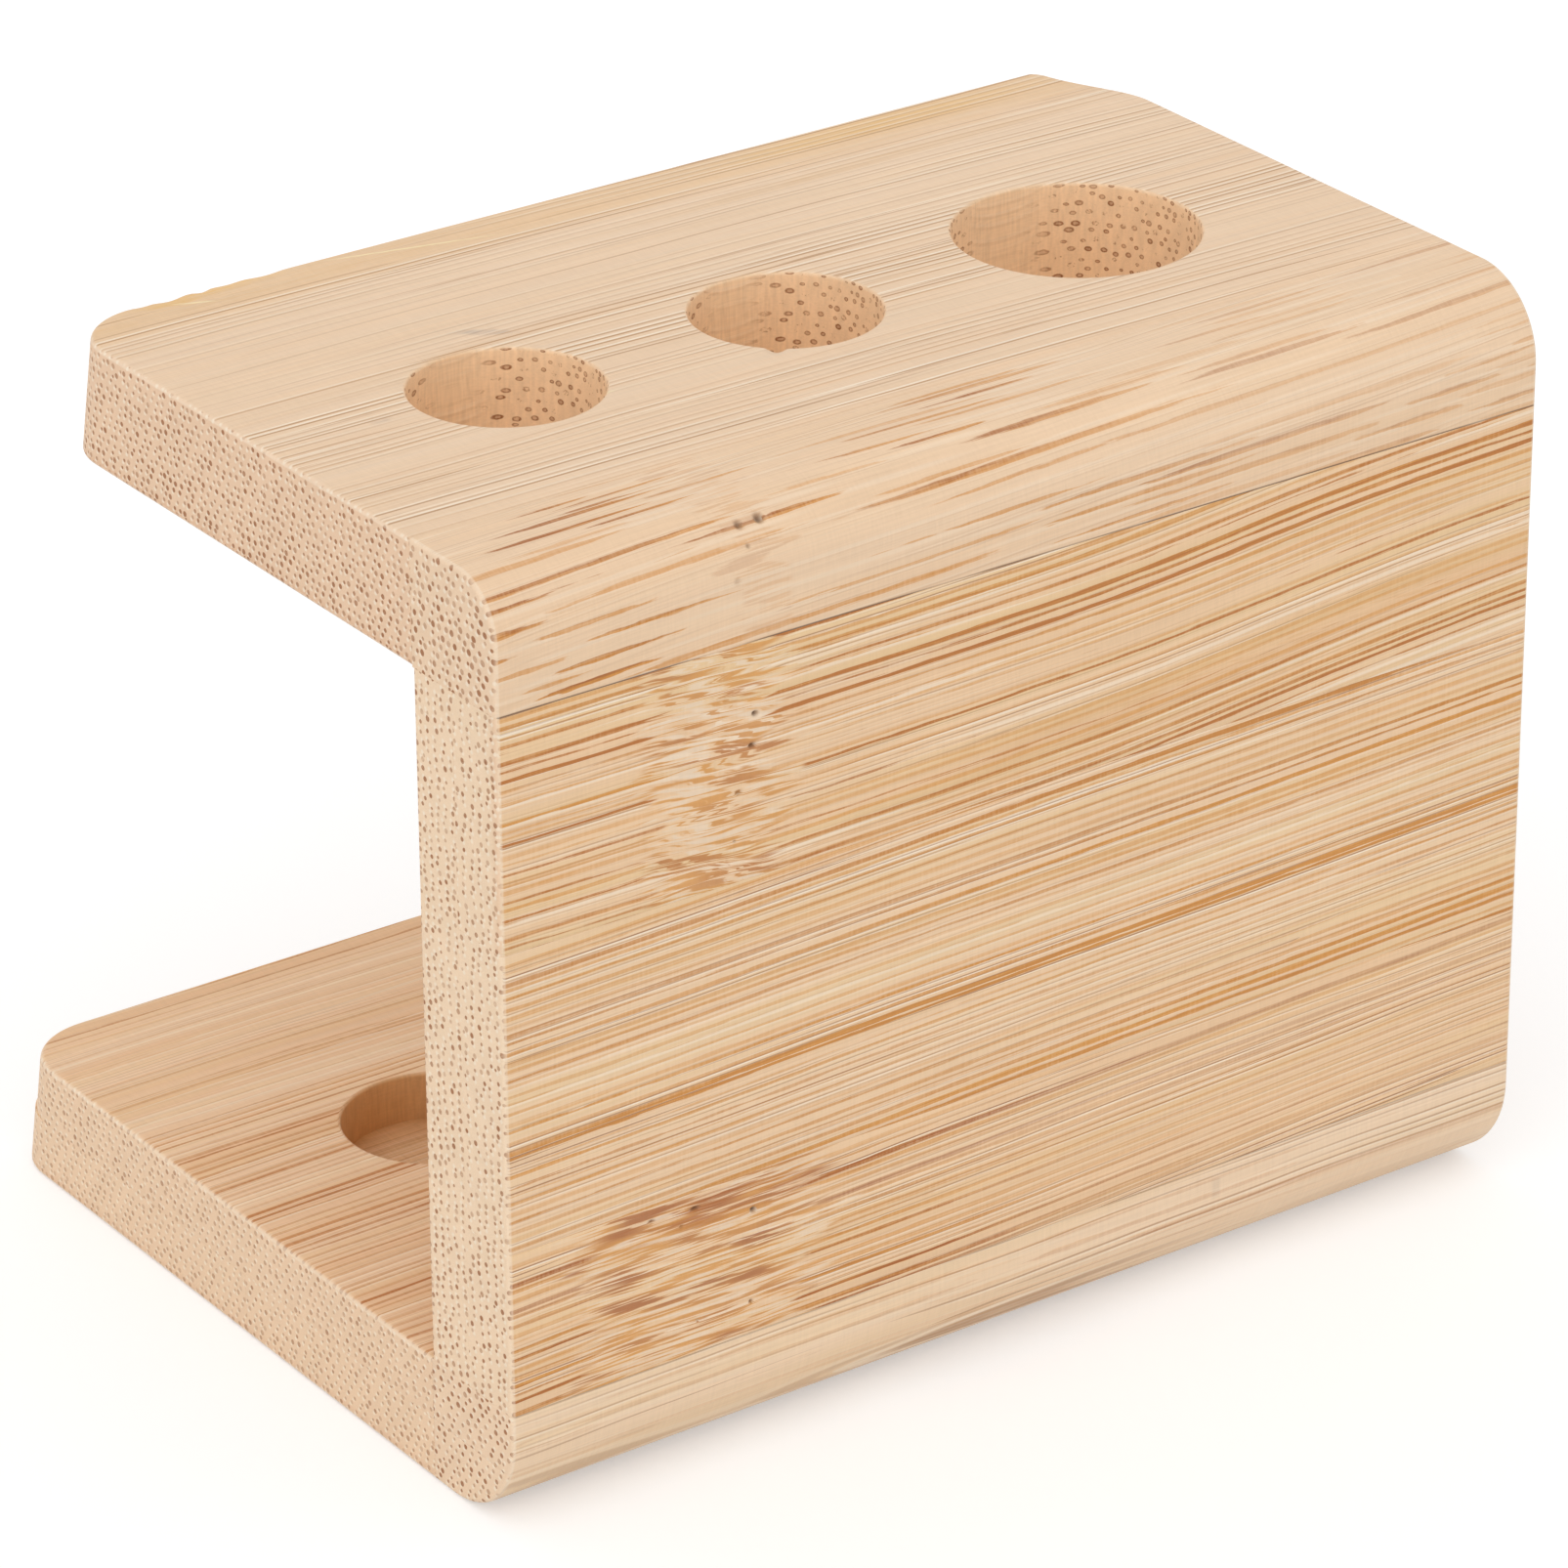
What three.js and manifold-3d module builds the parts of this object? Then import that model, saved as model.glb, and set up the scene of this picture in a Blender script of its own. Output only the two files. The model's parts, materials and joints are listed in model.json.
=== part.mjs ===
// Bamboo toothbrush stand: a bored top shelf, an upright and a base with seats, glued up from bamboo boards.
// Millimetres, +Z up. X runs along the grain, the upright closes the -Y side and the +Y side is open.
// The origin is the middle of the footprint, on the surface that the stand rests on.
import * as THREE from 'three';
import { mergeVertices } from 'three/addons/utils/BufferGeometryUtils.js';
import Module from 'manifold-3d';

// Overall sizes. Depths are measured from the upright's outer face.
const length = 100;
const height = 81;
const topDepth = 61.8;
const baseDepth = 78.3;

// Board and ply thicknesses
const topThickness = 10.5;
const uprightOuterPly = 5.9;
const uprightInnerPly = 5.4;
const baseUpperPly = 5.5;
const baseLowerPly = 5.5;

// Rounded edges: the two long edges of the closed side, and the open corners seen from above
const topEdgeRadius = 6.2;
const baseEdgeRadius = 8.8;
const openCornerRadius = 6.4;

// Bores through the top shelf, and the seats below them in the base
const smallBore = 15.6;
const largeBore = 20.4;
const firstBoreMargin = 13.9;
const boreWeb = 10.9;
const boreLine = 31;
const seatDepth = 4.3;

// Glue seams between slats: shares of the upright's height, and depths in the two plies of the base
const lowerSlatShare = 0.239;
const middleSlatShare = 0.43;
const baseUpperSeam = 55;
const baseLowerSeam = 39.35;

// Facets of the round stretches, and how far a cutter runs past what it cuts
const edgeSegments = 14;
const boreSegments = 72;
const cutterOverrun = 5;

// Sizes that follow from the ones above
const uprightThickness = uprightOuterPly + uprightInnerPly;
const baseThickness = baseUpperPly + baseLowerPly;
const uprightHeight = height - topThickness - baseThickness;
const topUnderside = height - topThickness;
const openSideSlope = (baseDepth - topDepth) / height;
const shelfMiddle = height - topThickness / 2;
const seatLine = boreLine + openSideSlope * (shelfMiddle - baseThickness);
const seatFloor = baseThickness - seatDepth;
const lowerSlatHeight = uprightHeight * lowerSlatShare;
const middleSlatHeight = uprightHeight * middleSlatShare;
const upperSlatFoot = lowerSlatHeight + middleSlatHeight;
const upperSlatHeight = uprightHeight - upperSlatFoot;
const pastOpenSide = baseDepth + cutterOverrun;

const wasm = await Module();
wasm.setup();

// Closed three.js geometry to a solid that can be cut
function toSolid(geometry) {
  const bare = geometry.clone();
  bare.deleteAttribute('normal');
  bare.deleteAttribute('uv');
  const merged = mergeVertices(bare);
  return new wasm.Manifold(new wasm.Mesh({
    numProp: 3,
    vertProperties: new Float32Array(merged.attributes.position.array),
    triVerts: new Uint32Array(merged.index.array),
  }));
}

// Cut solid back to a three.js geometry
function toGeometry(solid) {
  const mesh = solid.getMesh();
  const geometry = new THREE.BufferGeometry();
  geometry.setAttribute('position', new THREE.BufferAttribute(mesh.vertProperties, 3));
  geometry.setIndex(new THREE.BufferAttribute(mesh.triVerts, 1));
  geometry.computeVertexNormals();
  return geometry;
}

// Section drawn in (Y, Z), carried along the whole length and centred on X
function alongLength(section) {
  const geometry = new THREE.ExtrudeGeometry(section, {
    depth: length,
    bevelEnabled: false,
    curveSegments: edgeSegments,
  });
  const toLength = new THREE.Matrix4().makeBasis(
    new THREE.Vector3(0, 1, 0),
    new THREE.Vector3(0, 0, 1),
    new THREE.Vector3(1, 0, 0),
  );
  geometry.applyMatrix4(toLength);
  geometry.translate(-length / 2, 0, 0);
  return geometry;
}

// Plain rectangular bar along the whole length, with one long edge on the X axis
function bar(thickness, tall) {
  const section = new THREE.Shape();
  section.moveTo(0, 0);
  section.lineTo(thickness, 0);
  section.lineTo(thickness, tall);
  section.lineTo(0, tall);
  section.closePath();
  return alongLength(section);
}

// Square corner strip whose outer upper edge is rounded
function topStripSection() {
  const radius = Math.min(topEdgeRadius, topThickness, uprightThickness);
  const section = new THREE.Shape();
  section.moveTo(0, 0);
  section.lineTo(uprightThickness, 0);
  section.lineTo(uprightThickness, topThickness);
  section.lineTo(radius, topThickness);
  section.absarc(radius, topThickness - radius, radius, Math.PI / 2, Math.PI, false);
  section.closePath();
  return section;
}

// Square corner strip whose outer lower edge is rounded
function baseStripSection() {
  const radius = Math.min(baseEdgeRadius, baseThickness, uprightThickness);
  const section = new THREE.Shape();
  section.moveTo(radius, 0);
  section.lineTo(uprightThickness, 0);
  section.lineTo(uprightThickness, baseThickness);
  section.lineTo(0, baseThickness);
  section.lineTo(0, radius);
  section.absarc(radius, radius, radius, Math.PI, Math.PI * 1.5, false);
  section.closePath();
  return section;
}

// Space inside the open side: the plan outline with rounded open corners, leaning so that the depth grows
// from topDepth at the top to baseDepth at the bottom
function openSideEnvelope() {
  const half = length / 2;
  const radius = openCornerRadius;
  const plan = new THREE.Shape();
  plan.moveTo(-half, 0);
  plan.lineTo(half, 0);
  plan.lineTo(half, baseDepth - radius);
  plan.absarc(half - radius, baseDepth - radius, radius, 0, Math.PI / 2, false);
  plan.lineTo(radius - half, baseDepth);
  plan.absarc(radius - half, baseDepth - radius, radius, Math.PI / 2, Math.PI, false);
  plan.closePath();
  const geometry = new THREE.ExtrudeGeometry(plan, {
    depth: height + 2 * cutterOverrun,
    bevelEnabled: false,
    curveSegments: edgeSegments,
  });
  geometry.translate(0, 0, -cutterOverrun);
  geometry.applyMatrix4(new THREE.Matrix4().makeShear(0, 0, 0, 0, 0, -openSideSlope));
  return toSolid(geometry);
}

// Block that runs past both ends, between two depths and two heights
function block(near, far, bottom, top) {
  const geometry = new THREE.BoxGeometry(length + 2 * cutterOverrun, far - near, top - bottom);
  geometry.translate(0, (near + far) / 2, (bottom + top) / 2);
  return toSolid(geometry);
}

// Board or slat between two depths and two heights, trimmed by the leaning open side
function openBoard(near, far, bottom, top) {
  return openSideEnvelope().intersect(block(near, far, bottom, top));
}

// Round cutter on the vertical line through (x, y), between two heights
function roundCutter(x, y, diameter, bottom, top) {
  const geometry = new THREE.CylinderGeometry(diameter / 2, diameter / 2, top - bottom, boreSegments);
  geometry.rotateX(Math.PI / 2);
  geometry.translate(x, y, (bottom + top) / 2);
  return toSolid(geometry);
}

// Bores in order along X, with equal webs of wood between them
function boreRow() {
  const row = [];
  let edge = firstBoreMargin - length / 2;
  for (const diameter of [smallBore, smallBore, largeBore]) {
    row.push({ x: edge + diameter / 2, diameter });
    edge += diameter + boreWeb;
  }
  return row;
}

// Board with the row of bores or seats cut into it on one line, between two heights
function withRow(board, line, bottom, top) {
  let cut = board;
  for (const { x, diameter } of boreRow()) {
    cut = cut.subtract(roundCutter(x, line, diameter, bottom, top));
  }
  return cut;
}

function topShelf() {
  const board = openBoard(uprightThickness, pastOpenSide, topUnderside, height);
  return toGeometry(withRow(board, boreLine, topUnderside - cutterOverrun, height + cutterOverrun));
}

// Slat of the base's upper ply; a seat that reaches over the seam is cut from both slats
function baseUpperSlat(near, far) {
  const slat = openBoard(near, far, baseLowerPly, baseThickness);
  return toGeometry(withRow(slat, seatLine, seatFloor, baseThickness + cutterOverrun));
}

function baseLowerSlat(near, far) {
  return toGeometry(openBoard(near, far, 0, baseLowerPly));
}

// Ply of the rounded corner strip below the upright
function baseStripPly(bottom, top) {
  const strip = toSolid(alongLength(baseStripSection()));
  return toGeometry(strip.intersect(block(-cutterOverrun, uprightThickness + cutterOverrun, bottom, top)));
}

function bamboo(color, roughness) {
  return new THREE.MeshStandardMaterial({ color, roughness, metalness: 0 });
}

function piece(name, geometry, material, y, z) {
  const mesh = new THREE.Mesh(geometry, material);
  mesh.name = name;
  mesh.position.set(0, y, z);
  return mesh;
}

// Top: shelf and rounded corner strip
const top = new THREE.Group();
top.add(piece('top_shelf', topShelf(), bamboo(0xe3c49c, 0.6), 0, 0));
top.add(piece('top_edge_strip', alongLength(topStripSection()), bamboo(0xe0bd8f, 0.58), 0, topUnderside));

// Upright: an outer ply of three slats and an inner ply, glued with their skin sides out
const upright = new THREE.Group();
upright.position.z = baseThickness;
const lowerSlat = bar(uprightOuterPly, lowerSlatHeight);
const middleSlat = bar(uprightOuterPly, middleSlatHeight);
const upperSlat = bar(uprightOuterPly, upperSlatHeight);
const innerPly = bar(uprightInnerPly, uprightHeight);
upright.add(piece('upright_lower_slat', lowerSlat, bamboo(0xdab07c, 0.58), 0, 0));
upright.add(piece('upright_middle_slat', middleSlat, bamboo(0xdeb682, 0.58), 0, lowerSlatHeight));
upright.add(piece('upright_upper_slat', upperSlat, bamboo(0xdab07a, 0.58), 0, upperSlatFoot));
upright.add(piece('upright_inner_ply', innerPly, bamboo(0xdcb884, 0.6), uprightOuterPly, 0));

// Base: two plies of two slats, with the plies of the rounded corner strip below the upright
const base = new THREE.Group();
const upperFront = baseUpperSlat(uprightThickness, baseUpperSeam);
const upperRear = baseUpperSlat(baseUpperSeam, pastOpenSide);
const lowerFront = baseLowerSlat(uprightThickness, baseLowerSeam);
const lowerRear = baseLowerSlat(baseLowerSeam, pastOpenSide);
const stripUpper = baseStripPly(baseLowerPly, baseThickness);
const stripLower = baseStripPly(0, baseLowerPly);
base.add(piece('base_upper_front_slat', upperFront, bamboo(0xd9b283, 0.6), 0, 0));
base.add(piece('base_upper_rear_slat', upperRear, bamboo(0xdcb687, 0.6), 0, 0));
base.add(piece('base_lower_front_slat', lowerFront, bamboo(0xdcb788, 0.62), 0, 0));
base.add(piece('base_lower_rear_slat', lowerRear, bamboo(0xdab484, 0.62), 0, 0));
base.add(piece('base_strip_upper_ply', stripUpper, bamboo(0xe0bf92, 0.58), 0, 0));
base.add(piece('base_strip_lower_ply', stripLower, bamboo(0xe2c296, 0.58), 0, 0));

const stand = new THREE.Group();
stand.position.y = -baseDepth / 2;
stand.add(top, upright, base);

export default stand;
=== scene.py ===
"""Looks of a small bamboo toothbrush stand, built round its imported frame.

The stand is glued up from boards, slats and strips whose grain runs along X. Each piece is a section carried along a
line, with eased edges, bores, seats and pits in its mesh, and a grain that is worked out in space from the culm that
the piece was cut from: bundles of fibre show as dots on end grain and as lines on long grain.
"""
import json
import math

import bmesh
import bpy
import numpy as np
from bpy.props import FloatProperty, FloatVectorProperty, PointerProperty
from bpy.types import Operator, Panel, PropertyGroup
from mathutils import Matrix, Vector


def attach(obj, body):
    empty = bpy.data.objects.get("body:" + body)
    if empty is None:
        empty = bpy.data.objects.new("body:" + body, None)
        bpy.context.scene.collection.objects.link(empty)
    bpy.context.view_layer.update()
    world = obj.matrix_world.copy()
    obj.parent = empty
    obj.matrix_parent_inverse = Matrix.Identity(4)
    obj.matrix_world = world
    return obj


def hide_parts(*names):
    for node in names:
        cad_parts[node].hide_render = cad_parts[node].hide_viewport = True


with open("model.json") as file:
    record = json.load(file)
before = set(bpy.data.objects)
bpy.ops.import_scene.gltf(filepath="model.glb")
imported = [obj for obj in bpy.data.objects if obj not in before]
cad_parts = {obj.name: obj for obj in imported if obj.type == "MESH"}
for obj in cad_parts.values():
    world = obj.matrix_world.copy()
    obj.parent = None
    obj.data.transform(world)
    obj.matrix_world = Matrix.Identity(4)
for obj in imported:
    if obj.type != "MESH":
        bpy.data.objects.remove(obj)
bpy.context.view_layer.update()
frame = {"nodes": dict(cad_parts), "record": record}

bl_info = {
    "name": "Bamboo toothbrush stand",
    "version": (1, 0, 0),
    "blender": (4, 5, 0),
    "location": "View3D > Sidebar > Stand",
    "description": "Makes the boards of a glued bamboo toothbrush stand, their grain and a plain stage",
    "category": "Object",
}

MM = 0.001
LEVEL = 0.01  # Points this near a face lie on it
WELD = 1e-4  # Points this near each other become one
FLAT = 0.99995  # Faces whose normal is this near an axis are shaded flat
CREASE = math.radians(40)  # Edges sharper than this are shaded sharp
EASE_TURN = np.radians(np.linspace(0, 90, 6))  # Rows of an eased edge, as angles of a quarter circle
COARSE_STEP, FINE_STEP = 0.9, 0.12  # Of the mesh of a bar, and round its dents
DENT_REACH = {"along": 1.0, "up": 0.7}  # How far from a dent the mesh is fine
BAR_STEPS = {"across": 14, "filleted": 40, "fillet": 28}
BOARD_STEPS = {"along": 220, "across": 90, "up": 6, "corner": 10}
FOOT_STEPS = {"along": 120, "up": 24, "across": 16}
RIM_RINGS, RIM_CROWDING = 8, 1.6  # Of a bored face, crowded towards the rim
BORE_ROWS, SEAT_ROWS, SEAT_RINGS = 11, 6, 8
# On the seat slat the bored look is mostly a painted shade, so this share keeps the seat floors lighter than their
# walls
SEAT_FLOOR_CUT_AND_SHADE = 0.5  # Share of the bored look on a seat's floor


# Measures taken from the frame, in millimetres

def node_points(node):
    """All vertices of a CAD node, one row of x, y, z each."""
    mesh = frame["nodes"][node].data
    flat = np.empty(len(mesh.vertices) * 3, np.float32)
    mesh.vertices.foreach_get("co", flat)
    return flat.reshape(-1, 3).astype(float) / MM


def node_box(node):
    """Lowest and highest corner of a CAD node."""
    points = node_points(node)
    return points.min(0), points.max(0)


def open_side(node):
    """Depth of a board's open side at its lowest and highest level, and the radius of its open corners in plan."""
    points = node_points(node)
    low, high = points[:, 2].min(), points[:, 2].max()
    bottom = points[points[:, 2] < low + LEVEL]
    top = points[points[:, 2] > high - LEVEL]
    edge = top[top[:, 1] > top[:, 1].max() - LEVEL]
    return bottom[:, 1].max(), top[:, 1].max(), points[:, 0].max() - edge[:, 0].max()


def round_row(prefix, node):
    """Centre, radius and lowest level of each round opening in the record, from the node's vertices round its rim."""
    points = node_points(node)
    upper = points[points[:, 2] > points[:, 2].max() - LEVEL]
    row = []
    for opening in frame["record"]["physics"]["openings"]:
        if opening["name"].startswith(prefix):
            low, high = np.array(opening["box_m"]) / MM
            centre = (low[:2] + high[:2]) / 2
            radius = np.hypot(*(upper[:, :2] - centre).T).min()
            inside = np.hypot(*(points[:, :2] - centre).T) < radius + 2 * LEVEL
            row.append((centre, radius, points[inside, 2].min()))
    return row


def strip_fillet(node, side):
    """Radius of a strip's rounded long edge: from its flat outer face to its top (1) or to the underside at 0 (-1)."""
    points = node_points(node)
    face = points[points[:, 1] < points[:, 1].min() + LEVEL]
    if side > 0:
        return points[:, 2].max() - face[:, 2].max()
    return face[:, 2].min()


TOP_FILLET = strip_fillet("top_edge_strip", 1)
FOOT_FILLET = strip_fillet("base_strip_upper_ply", -1)
FRONT = node_box("top_edge_strip")[0][1]
SHELF_LOW, (SHELF_RIGHT, _, SHELF_TOP) = node_box("top_shelf")
DENTED_FILLET = TOP_FILLET - 0.45  # The top strip's radius at its dents; it grows from left to right


# Surfaces

class Shell:
    """Grid patches of one piece, welded into one closed mesh. Points are in millimetres."""

    def __init__(self):
        self.points = []
        self.quads = []
        self.marks = {"arris": [], "cut": []}
        self.count = 0

    def patch(self, points, wrap=False, **marks):
        """Adds a grid of points (rows, columns, 3); wrap joins its last column to its first."""
        rows, columns = points.shape[:2]
        index = self.count + np.arange(rows * columns).reshape(rows, columns)
        if wrap:
            index = np.concatenate([index, index[:, :1]], 1)
        cells = np.stack([index[:-1, :-1], index[:-1, 1:], index[1:, 1:], index[1:, :-1]], -1)
        self.points.append(points.reshape(-1, 3))
        self.quads.append(cells.reshape(-1, 4))
        for name, values in self.marks.items():
            values.append(np.broadcast_to(marks.get(name, 0.0), (rows, columns)).ravel())
        self.count += rows * columns

    def build(self, name, dents=()):
        """Welds points that fall together, presses the dents in, turns the faces out and returns the object.

        A dent has a centre, three radii, a push and a shade, which is the painted shade darkening the pit. Its depth
        falls as (1 - r2) squared, where r2 is the squared way from its centre measured in its radii.
        """
        points = np.concatenate(self.points)
        keys = np.round(points / WELD).astype(np.int64)
        _, first, inverse = np.unique(keys, axis=0, return_index=True, return_inverse=True)
        inverse = inverse.ravel()
        merged = points[first]
        pit = np.zeros(len(merged))
        moved = merged.copy()
        for centre, radii, push, shade in dents:
            depth = np.clip(1 - (((merged - centre) / radii) ** 2).sum(1), 0, 1) ** 2
            moved += depth[:, None] * np.asarray(push)
            pit = np.maximum(pit, depth * shade)
        quads = inverse[np.concatenate(self.quads)]
        same = quads == np.roll(quads, -1, axis=1)
        repeats = same.sum(1)
        faces = quads[repeats == 0].tolist()
        for corner in range(4):
            faces += np.delete(quads[(repeats == 1) & same[:, corner]], corner, axis=1).tolist()
        mesh = bpy.data.meshes.new(name)
        mesh.from_pydata((moved * MM).tolist(), [], faces)
        close_and_turn(mesh)
        for mark, values in self.marks.items():
            level = np.zeros(len(merged))
            np.maximum.at(level, inverse, np.concatenate(values))
            mesh.attributes.new(mark, "FLOAT", "POINT").data.foreach_set("value", level.astype(np.float32))
        # Pit mark: strength of the painted shade in the dents
        mesh.attributes.new("pit", "FLOAT", "POINT").data.foreach_set("value", pit.astype(np.float32))
        piece = bpy.data.objects.new(name, mesh)
        bpy.context.scene.collection.objects.link(piece)
        return piece


def close_and_turn(mesh):
    """Turns all faces outwards, shades the flat ones flat and the rest smooth, and stops if the mesh is open."""
    shell = bmesh.new()
    shell.from_mesh(mesh)
    bmesh.ops.recalc_face_normals(shell, faces=shell.faces[:])
    open_edges = sum(not edge.is_manifold for edge in shell.edges)
    shell.to_mesh(mesh)
    shell.free()
    if open_edges:
        raise RuntimeError(f"{mesh.name} has {open_edges} open edges")
    normals = np.empty(len(mesh.polygons) * 3, np.float32)
    mesh.polygons.foreach_get("normal", normals)
    flat = np.abs(normals.reshape(-1, 3)).max(1) > FLAT
    mesh.polygons.foreach_set("use_smooth", ~flat)
    mesh.set_sharp_from_angle(angle=CREASE)
    mesh.update()


def arc(p, q, radius, start, end, count):
    """Arc of a circle at every station, from one angle to another in degrees."""
    angle = np.radians(np.linspace(start, end, count + 1))
    return np.stack([p[:, None] + radius[:, None] * np.cos(angle), q[:, None] + radius[:, None] * np.sin(angle)], -1)


def chained(*runs):
    """Runs of points laid end to end, each starting where the last one ended."""
    return np.concatenate([runs[0], *[run[:, 1:] for run in runs[1:]]], 1)


def level_run(start, end, level, shares):
    """Straight run at every station with the first coordinate going from start to end and the second kept."""
    first = start[:, None] + (end - start)[:, None] * shares
    return np.stack([first, np.broadcast_to(level[:, None], first.shape)], -1)


def spread(count):
    """Even shares from 0 to 1 in count steps."""
    return np.linspace(0, 1, count + 1)


def graded(low, high, places, reach, samples=4001):
    """Shares from 0 to 1 whose steps are coarse, and fine within reach of the given places.

    The density of steps is summed along the line, and the shares are where that sum passes whole numbers.
    """
    line = np.linspace(low, high, samples)
    near = np.zeros_like(line)
    for place in places:
        near = np.maximum(near, np.exp(-((line - place) / reach) ** 2))
    density = 1 / COARSE_STEP + (1 / FINE_STEP - 1 / COARSE_STEP) * near
    total = np.concatenate([[0], np.cumsum((density[1:] + density[:-1]) / 2 * np.diff(line))])
    steps = np.linspace(0, total[-1], math.ceil(total[-1]) + 1)
    return np.interp(steps, total, (line - low) / (high - low))


def drawn_in(away, radius):
    """How far a rounded edge draws a face in, at a distance from the end: radius less its quarter circle's height."""
    reach = np.clip(1 - away / radius, 0, 1)
    return radius * (1 - np.sqrt(1 - reach ** 2))


def ridge(away, ease):
    """1 in the middle of a rounded edge, falling to 0 at both sides of it."""
    return np.abs(np.sin(2 * np.arccos(np.clip(away / ease, 0, 1))))


def stations_along(low, high, first, last, inner):
    """Stations from low to high: rows that follow a quarter circle at each end, and the inner shares between them."""
    turn = 1 - np.cos(EASE_TURN)
    middle = low + first + (high - low - first - last) * inner
    return np.concatenate([low + first * turn, middle[1:-1], high - last * turn[::-1]])


def section_sides(bounds, radii, arcs, near_shares, left_shares):
    """Four sides of a rounded rectangle at every station, each from the middle of one corner's arc to the next.

    Opposite sides get the same number of points, so a corner with more points on its arc takes them from the
    straight run. Near and far run with the first coordinate, left and right with the second.
    """
    p0, p1, q0, q1 = bounds
    r00, r10, r11, r01 = radii
    a00, a10, a11, a01 = arcs
    fewer_far = spread(len(near_shares) - 1 + a00 + a10 - a01 - a11) if (a00, a10) != (a01, a11) else near_shares
    fewer_right = spread(len(left_shares) - 1 + a00 + a01 - a10 - a11) if (a00, a01) != (a10, a11) else left_shares
    near = chained(arc(p0 + r00, q0 + r00, r00, 225, 270, a00), level_run(p0 + r00, p1 - r10, q0, near_shares),
                   arc(p1 - r10, q0 + r10, r10, 270, 315, a10))
    far = chained(arc(p0 + r01, q1 - r01, r01, 135, 90, a01), level_run(p0 + r01, p1 - r11, q1, fewer_far),
                  arc(p1 - r11, q1 - r11, r11, 90, 45, a11))
    rise, right_rise = level_run(q0 + r00, q1 - r01, p0, left_shares), level_run(q0 + r10, q1 - r11, p1, fewer_right)
    left = chained(arc(p0 + r00, q0 + r00, r00, 225, 180, a00), np.flip(rise, -1),
                   arc(p0 + r01, q1 - r01, r01, 180, 135, a01))
    right = chained(arc(p1 - r10, q0 + r10, r10, -45, 0, a10), np.flip(right_rise, -1),
                    arc(p1 - r11, q1 - r11, r11, 0, 45, a11))
    return near, far, left, right


def carried(shell, axis, stations, bounds, eases, hair, radii, arcs, near_shares, left_shares):
    """Carries a rounded rectangle along an axis and returns the four sides of its first and last section in space.

    Eases holds each side's rounding at the first and at the last section, so that exposed edges are rounded and glued
    ones stay sharp. Corner radii shrink by what both neighbours are drawn in. The order of sides is near, far, left,
    right.
    """
    ways = stations - stations[0], stations[-1] - stations
    near_in, far_in, left_in, right_in = (np.maximum(drawn_in(ways[0], first), drawn_in(ways[1], last))
                                          for first, last in zip(*eases))
    p0, p1, q0, q1 = (np.broadcast_to(np.asarray(b, float), stations.shape) for b in bounds)
    inner = (p0 + left_in, p1 - right_in, q0 + near_in, q1 - far_in)
    meets = ((left_in, near_in), (right_in, near_in), (right_in, far_in), (left_in, far_in))
    rounded = [np.maximum(radius - np.minimum(*pair), hair) for radius, pair in zip(radii, meets)]
    sides = section_sides(inner, rounded, arcs, near_shares, left_shares)
    first, p, q = (0, 1, 2) if axis == "x" else (2, 0, 1)
    placed = []
    for run in sides:
        place = np.empty(run.shape[:2] + (3,))
        place[..., first] = stations[:, None]
        place[..., p] = run[..., 0]
        place[..., q] = run[..., 1]
        placed.append(place)
    near, far, left, right = placed
    loop = np.concatenate([near[:, :-1], right[:, :-1], far[:, :0:-1], left[:, :0:-1]], 1)
    # Arris mark, 1 in the middle of an exposed rounded edge: the wood paints it pale, partly as wear and partly as a
    # painted edge highlight
    worn = np.zeros(loop.shape[:2])
    for away, ease in zip(ways, eases):
        shown = np.concatenate([np.full(run.shape[1] - 1, float(ease[side] > 2 * hair))
                                for run, side in ((near, 0), (right, 3), (far, 1), (left, 2))])
        worn = np.maximum(worn, ridge(away, max(ease))[:, None] * shown)
    shell.patch(loop, wrap=True, arris=worn)
    return [run[0] for run in placed], [run[-1] for run in placed]


def end_face(shell, sides):
    """Closes a section with a grid between its sides: two ruled surfaces added, less the corners' bilinear one."""
    near, far, left, right = sides
    u = spread(len(near) - 1)[None, :, None]
    v = spread(len(left) - 1)[:, None, None]
    ruled = (1 - v) * near[None] + v * far[None] + (1 - u) * left[:, None] + u * right[:, None]
    corners = (1 - v) * ((1 - u) * near[0] + u * near[-1]) + v * ((1 - u) * far[0] + u * far[-1])
    grid = ruled - corners
    grid[0], grid[-1], grid[:, 0], grid[:, -1] = near, far, left, right
    shell.patch(grid)


def bored_face(shell, sides, row, rim):
    """Closes a board's face round a row of bores: one cell for each bore, ruled from its rim to the cell's outline.

    Returns the ring of rim points of each bore.
    """
    near, far, left, right = sides
    across = spread(len(left) - 1)[:, None]
    middles = [(a[0][0] + a[1] + b[0][0] - b[1]) / 2 for a, b in zip(row, row[1:])]
    near_cuts = [0, *[int(np.argmin(abs(near[:, 0] - x))) for x in middles], len(near) - 1]
    far_cuts = [0, *[int(np.argmin(abs(far[:, 0] - x))) for x in middles], len(far) - 1]
    walls = [left, *[near[i] + (far[j] - near[i]) * across for i, j in zip(near_cuts[1:-1], far_cuts[1:-1])], right]
    rings = []
    for k, (centre, radius, _) in enumerate(row):
        bottom = near[near_cuts[k]:near_cuts[k + 1] + 1]
        top = far[far_cuts[k]:far_cuts[k + 1] + 1]
        outline = np.concatenate([bottom[:-1], walls[k + 1][:-1], top[:0:-1], walls[k][:0:-1]])
        middle = np.array([centre[0], centre[1], outline[0, 2]])
        reach = outline - middle
        ring = middle + reach * ((radius + rim) / np.linalg.norm(reach, axis=1))[:, None]
        shares = spread(RIM_RINGS)[:, None, None] ** RIM_CROWDING
        grid = ring[None] + (outline - ring)[None] * shares
        grid[0], grid[-1] = ring, outline
        shell.patch(grid, wrap=True)
        rings.append(ring)
    return rings


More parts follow.
